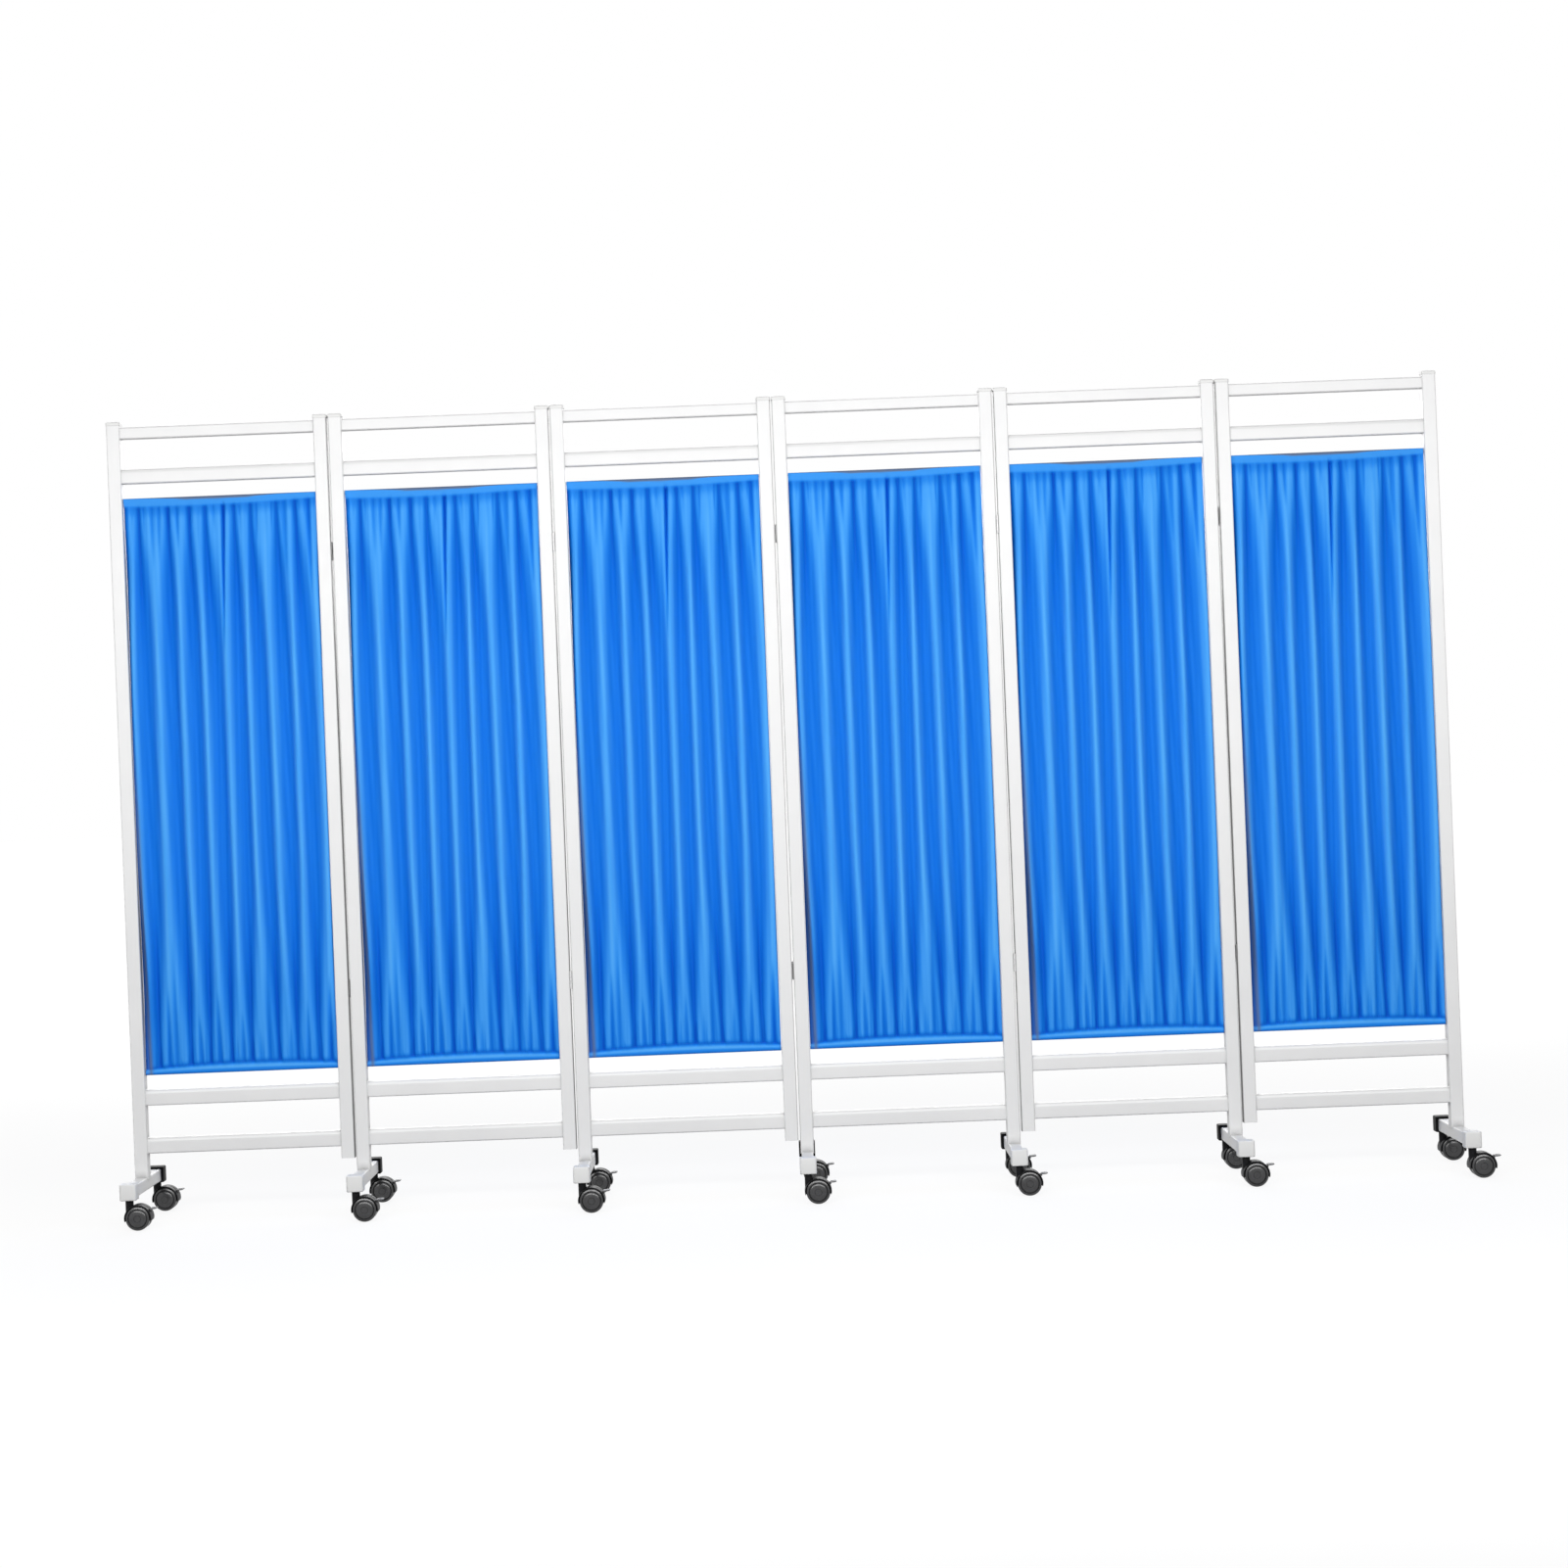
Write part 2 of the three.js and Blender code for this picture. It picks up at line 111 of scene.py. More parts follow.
# Feet
foot_bar_width = 0.026
foot_bar_bottom = 0.069
foot_bar_top = 0.097
foot_bar_corner = 0.003
block_width = 0.037
block_length = 0.036
block_bottom = 0.066
block_top = 0.102
block_corner = 0.005
block_round = 0.0025
block_corner_share = 0.6
stem_radius = 0.005
stem_length = 0.015
stem_gap = 0.0004
stem_tip_share = 0.8
stem_bore_sides = 32

# Curtain rods and curtains
rod_radius = 0.003
rod_seat = 0.004
rod_end_gap = 0.0002
rod_chamfer = 0.0004
rod_sides = 16
pocket_slack = 0.0009
cloth_thickness = 0.0006
cloth_clearance = 0.001
fold_depth = 0.018
gather_depth = 0.008
wrinkle_depth = 0.00035
pocket_puff = 0.0007
sliver_height = 0.0075
sliver_middle = -0.008
sliver_reach = 0.115
sliver_edge = 0.0015
hem_set_back = 0.0035
hem_columns = 26
cloth_columns = 150
body_rows = 120
round_rows = 9
flat_rows = 6
stitch_pitch = 0.0042
stitch_length = 0.0030
stitch_radius = 0.0003
stitch_sides = 6
stitch_out_share = 1.9
stitch_shares = ((-0.5, 0.45), (-0.3, 1), (0.3, 1), (0.5, 0.45))

# Hinges
hinge_heights = (1.492, 0.504)
hinge_length = 0.040
knuckle_radius = 0.0024
pin_radius = 0.001
leaf_thickness = 0.0012
leaf_width = 0.018
knuckle_gap = 0.0003
pin_head_height = 0.0008
knuckle_chamfer = 0.0003
pin_head_share = 1.7
pin_top_share = 0.6

# Round pieces and the edges of all pieces
round_sides = 24
merge_reach = 2e-6
seal_reach = 1e-7
crease = math.radians(32)
round_crease = math.radians(75)

# Casters
caster_trail = 0.020
hood_radius = 0.030
hood_wall = 0.0018
hood_round = 0.003
hood_skirt = 0.006
hood_taper = 0.0032
hood_half_width = 0.0208
web_radius = 0.019
web_half = 0.004
boss_radius = 0.009
boss_chamfer = 0.0008
boss_foot_share = 0.25
boss_sides = 40
boss_gap = 0.0005
slot_behind = 0.0045
slot_below = 0.006
axle_radius = 0.003

# The hood's rounded edge, as shares of its round in from the rim and in from the side
hood_edge_shares = ((1, 0), (0.3, 0.25), (0.06, 0.65), (0, 1.2))

# Wheels, whose rims are given by how far in from the tread and how far from the wheel's side they lie
wheel_radius = 0.0265
wheel_inner = 0.0048
wheel_outer = 0.0208
wheel_dome = 0.0016
wheel_sides = 64
inner_rim = ((0.004, 0), (0.001, 0.0006), (0, 0.002))
outer_rim = (
    (0, 0.0035), (0.0009, 0.001575), (0.0030, 0.0006), (0.0048, 0.0002), (0.0054, 0.0012), (0.0062, 0.0022),
)

# A wheel's face from its rim to its hub, as shares of its radius and of its dome
wheel_face_shares = (
    (0.735, -0.875), (0.70, -0.375), (0.64, 0.125), (0.56, 0.5), (0.44, 0.8125), (0.30, 0.9375),
    (0.285, 0.625), (0.27, 0.9375), (0.12, 1), (0.02, 1),
)

# Pedals
pedal_width = 0.020
pedal_start = 0.027
pedal_end = 0.041
pedal_top = 0.022
pedal_thickness = 0.0032
pedal_pivot = (0.014, 0.017)
pedal_pin_radius = 0.0015
pedal_pin_length = 0.0074
pedal_arm_half = 0.002
arm_height = 0.006
arm_corner = 0.0008
arm_behind = 0.003
arm_ahead = 0.002
pad_sink = 0.0006
pad_lift = 0.0012
pad_corner = 0.0014
pad_corner_share = 0.42
pad_round_share = 0.25
pad_tip_share = 0.18
pad_tip_thickness_share = 0.45
pad_tip_width_share = 0.86
pad_steps = 10
pad_corner_steps = 4
grip_count = 3
grip_start = 0.004
grip_pitch = 0.0028
grip_width = 0.0012
grip_length_share = 0.72
grip_corner = 0.0005
grip_root = 0.001
grip_height = 0.0004
grip_top_share = 0.73
small_corner_steps = 3

# Painted shade in gaps and corners: how near another surface darkens the paint, how dark it gets, and the
# rays that look for it
crevice_reach = 0.018
crevice_shade_tone = 0.08
crevice_samples = 8

# Depth of the bumps in the paint and in smoother surfaces
paint_bump = 0.0002
fine_bump = 0.0001

# Floor, world and the camera of the photograph
white = (1, 1, 1, 1)
floor_reach = 60.0
fade_start = 1.6
fade_end = 9.0
near_glow = 0.87
ambient_strength = 0.13
camera_aside = 0.0139
camera_distance = 6.86
camera_height = 0.961
camera_roll = math.radians(2.25)

# Lamps, each by its place, its size and its power, and the place that all of them face
lamps = {
    "key": ((-0.05, -3.2, 1.8), (6.4, 0.7), 145),
    "back_fill": ((0, 5.5, 3.0), (6.0, 3.0), 205),
    "left_fill": ((-5.0, 0, 1.6), (2.0, 2.5), 14),
    "right_fill": ((5.0, 0, 1.6), (2.0, 2.5), 14),
}
lamp_target = (0, 0, 0.9)


def clamp01(value):
    return np.clip(value, 0.0, 1.0)


def smooth_step(value):
    value = clamp01(value)
    return value * value * (3 - 2 * value)


def mix(start, end, way):
    return start + (end - start) * way


def hump(value, middle, width):
    """1 at the middle, falling to nothing on both sides."""
    return np.exp(-(((value - middle) / width) ** 2))


def arch(share):
    """0 at both sides and 1 in the middle."""
    return 4 * share * (1 - share)


def swing(value):
    """0 at even numbers and 1 at odd ones."""
    return 0.5 - 0.5 * np.cos(math.pi * value)


# Building meshes

def rounded_loop(width, depth, corner, steps=corner_steps):
    """Points of a rectangle with round corners, centred on zero, in two coordinates."""
    points = []
    for quarter, (sx, sy) in enumerate(((1, 1), (-1, 1), (-1, -1), (1, -1))):
        centre = Vector((sx * (width / 2 - corner), sy * (depth / 2 - corner)))
        for i in range(steps + 1):
            angle = (quarter + i / steps) * math.pi / 2
            out = Vector((math.cos(angle), math.sin(angle)))
            along = Vector((-out.y, out.x))
            spot = centre + corner * out
            if i == 0:
                points.append(tuple(spot - corner_hold * along))
            points.append(tuple(spot))
            if i == steps:
                points.append(tuple(spot + corner_hold * along))
    return points


def add_loft(bm, rings, closed=True):
    """Joins rings of equal point count with quads, and closes the ends."""
    made = [[bm.verts.new(point) for point in ring] for ring in rings]
    count = len(rings[0])
    for low, high in zip(made, made[1:]):
        for i in range(count):
            j = (i + 1) % count
            bm.faces.new((low[i], low[j], high[j], high[i]))
    if closed:
        bm.faces.new(reversed(made[0]))
        bm.faces.new(made[-1])


def circle(radius, sides=round_sides):
    angles = [2 * math.pi * i / sides for i in range(sides)]
    return [(radius * math.cos(a), radius * math.sin(a)) for a in angles]


def add_post(bm, x, y, profile, sides=round_sides):
    """An upright turned piece about x, y; profile lists radius and height from bottom to top."""
    rings = [[(x + px, y + py, z) for px, py in circle(radius, sides)] for radius, z in profile]
    add_loft(bm, rings)


def add_turned_y(bm, x, z, profile, sides):
    """A turned piece about an axle along Y; profile lists radius and Y."""
    rings = [[(x + px, y, z - pz) for px, pz in circle(radius, sides)] for radius, y in profile]
    add_loft(bm, rings)


def add_object(name, data):
    piece = bpy.data.objects.new(name, data)
    bpy.context.scene.collection.objects.link(piece)
    return piece


def new_mesh(name, bm, crease_angle=crease):
    """Turns a bmesh into an object with outward faces, smooth but for its sharp edges."""
    bmesh.ops.recalc_face_normals(bm, faces=bm.faces)
    for face in bm.faces:
        face.smooth = True
    for edge in bm.edges:
        edge.smooth = len(edge.link_faces) == 2 and edge.calc_face_angle(0) < crease_angle
    mesh = bpy.data.meshes.new(name)
    bm.to_mesh(mesh)
    bm.free()
    return add_object(name, mesh)


def modified_mesh(piece):
    """The mesh that a piece's modifiers make of it."""
    graph = bpy.context.evaluated_depsgraph_get()
    return bpy.data.meshes.new_from_object(piece.evaluated_get(graph))


def combine(base, other, operation):
    """Joins or cuts one solid with another and removes the other."""
    step = base.modifiers.new("step", "BOOLEAN")
    step.operation = operation
    step.object = other
    step.solver = "EXACT"
    made = modified_mesh(base)
    base.modifiers.clear()
    base.data = made
    bpy.data.objects.remove(other)


def settled(piece, crease_angle=crease):
    """The mesh of a finished shape, with doubled points merged; the object itself goes."""
    bm = bmesh.new()
    bm.from_mesh(piece.data)
    bmesh.ops.remove_doubles(bm, verts=bm.verts, dist=merge_reach)
    clean = new_mesh(piece.name, bm, crease_angle)
    mesh = clean.data
    for finished in (piece, clean):
        bpy.data.objects.remove(finished)
    return mesh


def copy_of(mesh, name, offset):
    piece = add_object(name, mesh.copy())
    piece.data.transform(Matrix.Translation(offset))
    return piece


def place(piece, body, material):
    """Gives a piece its material and the body that it moves with."""
    piece.data.materials.clear()
    piece.data.materials.append(material)
    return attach(piece, body)


# Materials

def set_inputs(node, **values):
    """Sets a node's inputs or joins outputs to them; an underscore in a name stands for a space."""
    for name, value in values.items():
        socket = node.inputs[name.replace("_", " ")]
        if isinstance(value, bpy.types.NodeSocket):
            node.id_data.links.new(value, socket)
        else:
            socket.default_value = value


def add_node(tree, kind, **values):
    node = tree.nodes.new(kind)
    set_inputs(node, **values)
    return node


def shader_of(material):
    return material.node_tree.nodes["Principled BSDF"]


def new_material(name, colour, **look):
    material = bpy.data.materials.new(name)
    material.use_nodes = True
    set_inputs(shader_of(material), Base_Color=(*colour, 1), **look)
    return material


def noise(material, scale, detail=3.0, stretch=(1, 1, 1)):
    """The output of a noise texture in the piece's own coordinates."""
    tree = material.node_tree
    piece = add_node(tree, "ShaderNodeTexCoord").outputs["Object"]
    stretched = add_node(tree, "ShaderNodeMapping", Vector=piece, Scale=stretch).outputs[0]
    return add_node(tree, "ShaderNodeTexNoise", Vector=stretched, Scale=scale, Detail=detail).outputs[0]


def add_bump(material, source, distance, strength):
    bump = add_node(
        material.node_tree, "ShaderNodeBump", Height=source, Distance=distance, Strength=strength,
    )
    set_inputs(shader_of(material), Normal=bump.outputs["Normal"])


def vary_roughness(material, scale, low, high, stretch=(1, 1, 1)):
    """Runs the shader's roughness between two values in soft patches."""
    source = noise(material, scale, stretch=stretch)
    spread = add_node(material.node_tree, "ShaderNodeMapRange", Value=source, To_Min=low, To_Max=high)
    set_inputs(shader_of(material), Roughness=spread.outputs["Result"])


def add_colours(material, source, stops):
    """Colours the shader by a ramp over a texture or attribute output."""
    ramp = add_node(material.node_tree, "ShaderNodeValToRGB", Fac=source)
    elements = ramp.color_ramp.elements
    while len(elements) < len(stops):
        elements.new(0.5)
    for element, (position, colour) in zip(elements, stops):
        element.position = position
        element.color = (*colour, 1)
    set_inputs(shader_of(material), Base_Color=ramp.outputs["Color"])


def add_patches(material, scale, dark, light, edge=0.3):
    """Colours the shader between two colours in soft patches."""
    add_colours(material, noise(material, scale), ((edge, dark), (1 - edge, light)))


def blend_colour(material, kind, share, colour):
    """Blends another colour over the one that already feeds the shader."""
    shader = shader_of(material)
    blend = add_node(material.node_tree, "ShaderNodeMix")
    blend.data_type = "RGBA"
    blend.blend_type = kind
    set_inputs(blend, Factor=share, A=shader.inputs["Base Color"].links[0].from_socket, B=colour)
    set_inputs(shader, Base_Color=blend.outputs["Result"])


def add_crevice_shade(material):
    """Darkens the colour where another surface stands close, as painted shade in gaps and corners."""
    tree = material.node_tree
    near = add_node(tree, "ShaderNodeAmbientOcclusion", Distance=crevice_reach)
    near.samples = crevice_samples
    spread = add_node(tree, "ShaderNodeMapRange", Value=near.outputs["AO"], To_Min=crevice_shade_tone)
    blend_colour(material, "MULTIPLY", 1, spread.outputs["Result"])


def powder_coat():
    material = new_material("powder_coat", (0.86, 0.86, 0.86), Roughness=0.38)
    add_patches(material, scale=9, dark=(0.84, 0.84, 0.842), light=(0.87, 0.87, 0.868))
    add_bump(material, noise(material, scale=900, detail=2), distance=paint_bump, strength=0.12)
    vary_roughness(material, scale=40, low=0.34, high=0.44)
    # Painted shade in the gaps between panels and where parts meet
    add_crevice_shade(material)
    return material


def cap_plastic():
    material = new_material("cap_plastic", (0.84, 0.84, 0.83), Roughness=0.5)
    add_bump(material, noise(material, scale=1500, detail=2), distance=fine_bump, strength=0.15)
    vary_roughness(material, scale=60, low=0.46, high=0.56)
    return material


def bright_steel():
    material = new_material("bright_steel", (0.56, 0.57, 0.58), Roughness=0.34, Metallic=1.0)
    vary_roughness(material, scale=60, low=0.28, high=0.42, stretch=(1, 8, 8))
    grain = noise(material, scale=500, stretch=(1, 12, 12))
    add_bump(material, grain, distance=fine_bump, strength=0.2)
    return material


def zinc_steel():
    material = new_material("zinc_steel", (0.66, 0.66, 0.66), Roughness=0.45, Metallic=0.3)
    add_patches(material, scale=250, dark=(0.60, 0.60, 0.605), light=(0.72, 0.72, 0.72), edge=0.35)
    vary_roughness(material, scale=180, low=0.38, high=0.55)
    return material


def moulded_plastic(name, dark, light, roughness, specular):
    material = new_material(name, light, Roughness=roughness, Specular_IOR_Level=specular)
    add_patches(material, scale=120, dark=dark, light=light)
    add_bump(material, noise(material, scale=2200, detail=2), distance=fine_bump, strength=0.25)
    vary_roughness(material, scale=90, low=roughness - 0.06, high=roughness + 0.08)
    return material


def thread_waves(material):
    """Fine threads both ways across the cloth."""
    tree = material.node_tree
    piece = add_node(tree, "ShaderNodeTexCoord").outputs["Object"]
    weave = add_node(tree, "ShaderNodeMath")
    weave.operation = "ADD"
    for socket, direction in zip(weave.inputs, ("X", "Z")):
        wave = add_node(tree, "ShaderNodeTexWave", Vector=piece, Scale=560, Distortion=0.6)
        wave.bands_direction = direction
        tree.links.new(wave.outputs["Fac"], socket)
    return weave.outputs[0]


def mesh_value(material, name):
    """The output of a value that the mesh carries at its points."""
    node = add_node(material.node_tree, "ShaderNodeAttribute")
    node.attribute_name = name
    return node.outputs["Fac"]


def curtain_cloth():
    """Blue cloth with painted shade and light: fold is 0 in a deep gather, painted darkest, and 1 on a
    ridge, painted brightest, and seam is 1 on the grey side seam.
    """
    material = new_material(
        "curtain_cloth", (0.012, 0.2, 0.82), Roughness=0.62, Specular_IOR_Level=0.07,
        Sheen_Weight=0.03, Sheen_Roughness=0.4, Sheen_Tint=(0.45, 0.72, 1.0, 1),
    )
    # The fold value paints the cloth: shade in the valleys and gathers, light on the ridges
    add_colours(material, mesh_value(material, "fold"), (
        (0.00, (0.0002, 0.088, 0.55)),
        (0.30, (0.003, 0.170, 0.72)),
        (0.62, (0.021, 0.265, 0.89)),
        (0.90, (0.066, 0.385, 0.995)),
        (1.00, (0.095, 0.435, 1.000)),
    ))
    blend_colour(material, "MIX", mesh_value(material, "seam"), (0.125, 0.180, 0.30, 1))
    add_bump(material, thread_waves(material), distance=fine_bump, strength=0.3)
    vary_roughness(material, scale=70, low=0.56, high=0.68)
    return material


def sewing_thread():
    material = new_material("sewing_thread", (0.02, 0.22, 0.80), Roughness=0.6, Specular_IOR_Level=0.2)
    add_patches(material, scale=400, dark=(0.014, 0.17, 0.70), light=(0.035, 0.26, 0.88))
    return material


white_paint = powder_coat()
white_plastic = cap_plastic()
rod_finish = bright_steel()
hinge_finish = zinc_steel()
cloth_finish = curtain_cloth()
thread_finish = sewing_thread()
hood_finish = moulded_plastic(
    "hood_plastic", dark=(0.007, 0.007, 0.008), light=(0.013, 0.013, 0.014), roughness=0.38, specular=0.075,
)
block_finish = moulded_plastic(
    "block_plastic", dark=(0.006, 0.006, 0.006), light=(0.011, 0.011, 0.012), roughness=0.5, specular=0.06,
)
wheel_finish = moulded_plastic(
    "wheel_plastic", dark=(0.020, 0.020, 0.021), light=(0.036, 0.036, 0.038), roughness=0.24, specular=0.6,
)
pedal_finish = moulded_plastic(
    "pedal_plastic", dark=(0.16, 0.16, 0.165), light=(0.21, 0.21, 0.215), roughness=0.45, specular=0.4,
)


# Frames

def panel_middle(panel):
    low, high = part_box(f"curtain_{panel}")
    return (low.x + high.x) / 2


panel_pitch = panel_middle(2) - panel_middle(1)
half_panel = (panel_pitch - panel_gap) / 2
half_opening = half_panel - stile_size
stile_offset = half_panel - stile_size / 2
screen_height = cad_high.z
stile_top = screen_height - cap_height
middle_panel = panel_count // 2 + 1


def has_foot(panel, side):
    return panel <= middle_panel if side < 0 else panel >= middle_panel


def add_stile(bm, x, long):
    """A square tube, which shows its wall at a short stile's open end."""
    outer = rounded_loop(stile_size, stile_size, stile_corner)
    bore_size = stile_size - 2 * tube_wall
    inner = rounded_loop(bore_size, bore_size, stile_corner - tube_wall)

    def ring(points, z):
        return [(x + px, py, z) for px, py in points]

    if long:
        add_loft(bm, [ring(outer, foot_bar_top - joint_overlap), ring(outer, stile_top)])
        return
    add_loft(bm, [
        ring(inner, short_stile_bottom + plug_depth),
        ring(inner, short_stile_bottom),
        ring(outer, short_stile_bottom),
        ring(outer, stile_top),
    ])


def rail_section(height, grow, bevelled):
    """Points of a rail's section about its middle; a bevelled one leans back at its upper front."""
    loop = rounded_loop(rail_depth + 2 * grow, height + 2 * grow, rail_corner + grow)
    if not bevelled:
        return loop
    front = -rail_depth / 2 - grow
    start = height / 2 + grow - bevel_height
    half = len(loop) // 2
    leaned = []
    for py, pz in loop[:half]:
        lean = bevel_depth * max(0, pz - start) / bevel_height if py < 0 else 0
        leaned.append((py + lean, pz))
    bend = [(front + bevel_depth * back, start + bevel_height * rise) for back, rise in bend_shares]
    return leaned + bend + loop[half:]


def add_rail(bm, x, top, height, bevelled):
    """A level tube that flares into its weld bead at each stile."""
    end = [
        (joint_overlap, weld_reach),
        (0, weld_reach),
        (-weld_reach / 2, weld_reach * weld_waist_share),
        (-weld_reach, 0),
    ]
    stations = [(-half_opening - out, grow) for out, grow in end]
    stations += [(half_opening + out, grow) for out, grow in end[::-1]]
    rings = []
    for offset, grow in stations:
        section = rail_section(height, grow, bevelled)
        rings.append([(x + offset, py, top - height / 2 + pz) for py, pz in section])
    add_loft(bm, rings)


def frame_tubes(panel):
    x = panel_middle(panel)
    bm = bmesh.new()
    for side in (-1, 1):
        add_stile(bm, x + side * stile_offset, has_foot(panel, side))
    for name, (top, height) in rails.items():
        add_rail(bm, x, top, height, name != "top")
    piece = new_mesh(f"frame_tubes_{panel}", bm)
    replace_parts(piece, f"panel_frame_{panel}")
    place(piece, f"panel_{panel}", white_paint)


def stile_caps(panel):
    bm = bmesh.new()
    levels = [
        (cap_edge, stile_top),
        (0, stile_top + cap_edge),
        (0, screen_height - cap_dome - cap_band),
    ]
    levels += [(inset, screen_height - cap_dome * above) for inset, above in cap_dome_rings]
    for side in (-1, 1):
        x = panel_middle(panel) + side * stile_offset
        rings = []
        for inset, z in levels:
            size = stile_size + 2 * cap_overhang - 2 * inset
            loop = rounded_loop(size, size, max(cap_corner - inset * cap_corner_share, cap_dome))
            rings.append([(x + px, py, z) for px, py in loop])
        add_loft(bm, rings)
    place(new_mesh(f"stile_caps_{panel}", bm), f"panel_{panel}", white_plastic)


# Rods

upper_rod_low, upper_rod_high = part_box("upper_curtain_rod_1")
cloth_low, cloth_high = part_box("curtain_1")
upper_rod_height = (upper_rod_low.z + upper_rod_high.z) / 2
lower_rod_height = cloth_low.z + cloth_high.z - upper_rod_height


def curtain_rod(panel, name, height):
    x = panel_middle(panel)
    reach = half_opening + rod_seat - rod_end_gap
    rings = []
    for offset, radius in (
        (-reach, rod_radius - rod_chamfer),
        (-reach + rod_chamfer, rod_radius),
        (0, rod_radius),
        (reach - rod_chamfer, rod_radius),
        (reach, rod_radius - rod_chamfer),
    ):
        rings.append([(x + offset, py, height + pz) for py, pz in circle(radius, rod_sides)])
    bm = bmesh.new()
    add_loft(bm, rings)
    piece = new_mesh(f"{name}_{panel}", bm)
    return place(piece, f"panel_{panel}", rod_finish)


# Curtains: places across the cloth are shares of its width, at its top, middle and bottom
ridge_shares = (
    (0.040, 0.014, 0.046), (0.156, 0.149, 0.152), (0.275, 0.271, 0.287), (0.390, 0.390, 0.394),
    (0.520, 0.505, 0.507), (0.624, 0.619, 0.626), (0.727, 0.736, 0.741), (0.858, 0.858, 0.851),
    (0.978, 0.989, 0.980),
)
valley_shares = (
    (0.000, -0.050, 0.000), (0.073, 0.080, 0.073), (0.225, 0.218, 0.239), (0.335, 0.335, 0.342),
    (0.417, 0.452, 0.452), (0.569, 0.569, 0.555), (0.656, 0.679, 0.695), (0.789, 0.803, 0.796),
    (0.890, 0.913, 0.906), (1.040, 1.060, 1.040),
)

# Extra gathers at the top and bottom: place, lean by the end, depth, reach along the cloth and width
top_gather_shares = (
    (0.1, 0.004, 0.3, 0.05, 0.007), (0.142, 0.004, 0.4, 0.11, 0.011), (0.177, -0.003, 0.4, 0.1, 0.01),
    (0.23, 0.003, 0.28, 0.05, 0.006), (0.273, 0.002, 0.42, 0.08, 0.011), (0.345, -0.004, 0.25, 0.05, 0.006),
    (0.465, 0.004, 0.3, 0.05, 0.006), (0.514, -0.018, 1.45, 0.27, 0.0075), (0.6, 0.003, 0.28, 0.06, 0.007),
    (0.686, 0, 0.3, 0.07, 0.011), (0.765, -0.004, 0.28, 0.05, 0.006), (0.83, 0.006, 0.55, 0.14, 0.012),
    (0.88, -0.004, 0.3, 0.05, 0.006), (0.954, 0.008, 0.85, 0.17, 0.012),
)
bottom_gather_shares = (
    (0.08, 0.004, 0.3, 0.06, 0.006), (0.128, 0.006, 0.6, 0.14, 0.012), (0.168, -0.004, 0.42, 0.24, 0.014),
    (0.245, 0.005, 0.32, 0.06, 0.006), (0.294, -0.004, 0.55, 0.09, 0.011), (0.34, 0.004, 0.3, 0.05, 0.006),
    (0.39, 0, 0.62, 0.13, 0.012), (0.455, -0.005, 0.3, 0.06, 0.006), (0.48, 0.004, 0.34, 0.05, 0.006),
    (0.514, 0, 0.5, 0.09, 0.011), (0.56, 0.004, 0.3, 0.05, 0.006), (0.604, 0, 0.28, 0.06, 0.01),
    (0.651, 0.004, 0.55, 0.23, 0.012), (0.705, -0.004, 0.3, 0.05, 0.006), (0.76, 0.003, 0.34, 0.07, 0.01),
    (0.82, -0.003, 0.28, 0.05, 0.006), (0.851, 0.004, 0.5, 0.11, 0.011), (0.92, -0.003, 0.3, 0.06, 0.006),
    (0.968, 0.004, 0.75, 0.15, 0.012),
)

# Each pocket's height at the two sides of the cloth, and how much higher it is in the middle
upper_pocket_sides = (0.0215, 0.0150)
upper_pocket_middle = 0.0053
lower_pocket_sides = (0.0140, 0.0165)
lower_pocket_middle = 0.0083
pocket_bulge = rod_radius + pocket_slack
cloth_half = half_opening - cloth_clearance

# Folds, as shares of the cloth's width or length
gathered_share = 0.42
top_pinch_share = 0.26
bottom_pinch_share = 0.32
bottom_hold_share = 0.8
held_share = 0.16
held_strength = 0.30
ridge_power = 1.45
valley_power = 1.45
row_crowding_share = 0.55

# A pinched valley's width, and its shares of that at the stitches and further in, and where it widens
valley_width_share = 0.021
top_valley_shares = (0.62, 1.12, 0, 0.12)
bottom_valley_shares = (0.65, 1.20, 0.01, 0.15)

# A crease's width at the stitches and at its tip
crease_root_share = 1.1
crease_tip_share = 0.5

# Small creases along the stitches: shift, lean, depth, reach and width, and the turns that vary them
pucker_count = 46
pucker_shares = (0.33, 0.007, 0.20, 0.075, 0.0042)
pucker_even_share = 0.6
pucker_turns = ((1, 2.3), (2, 1.7), (1, 3.1), (1, 2.7))
top_pucker_turn = 0.4
bottom_pucker_turn = 2.0

# Small waves in the cloth, each by its radians across and down it
wrinkle_waves = ((151, 6), (11, 23))
streak_waves = ((223, 0), (61, 7), (9, 4))
streak_sway = 5

# Side seam: its line and width across the cloth, and where down the cloth its grey begins
hem_zone_share = 0.05
hem_line_share = 0.006
hem_lean_share = 0.0235
seam_width_share = 0.0100
seam_start_share = 0.35
seam_fade_share = 0.3
hem_grey = 0.20
seam_grey = 0.65

# Tone of the cloth on the fold scale, with painted light on the ridges and painted shade in the valleys,
# deep gathers, creases and the side hem
ridge_tone = 0.95
valley_tone = 0.35
gathered_tone = 0.05
crease_shade_tone = 0.95
hem_shade_tone = 0.14
streak_tone = 0.07

# How much painted shade dims the ridges by the top, the bottom and the lower left corner, and over which
# reach
top_dimming, top_dim_share = 0.05, 0.07
bottom_dimming, bottom_dim_share = 0.12, 0.12
bottom_dim_start_share = 0.82
corner_dimming, corner_dim_share = 0.45, 0.055

# The share of its tone that the cloth keeps right beside the stitches, and how far their shadow reaches
top_shadow_shares = (0.66, 0.022)
bottom_shadow_shares = (0.30, 0.006)

# Tone of the pockets, where way is the share of the way from the stitches to the crown: painted shade low
# on the header and painted light toward its crown, and a painted highlight along the rod in the hem
header_shade_tones = (0.54, 0.80)
header_rise_share = 0.35
hem_band_tone = 0.40
hem_rod_highlight = 0.50
hem_middle_tone = 0.16
hem_rod_share = 0.45
hem_rod_width_share = 0.22
pocket_blend_share = 0.2
pocket_pull_share = 0.6


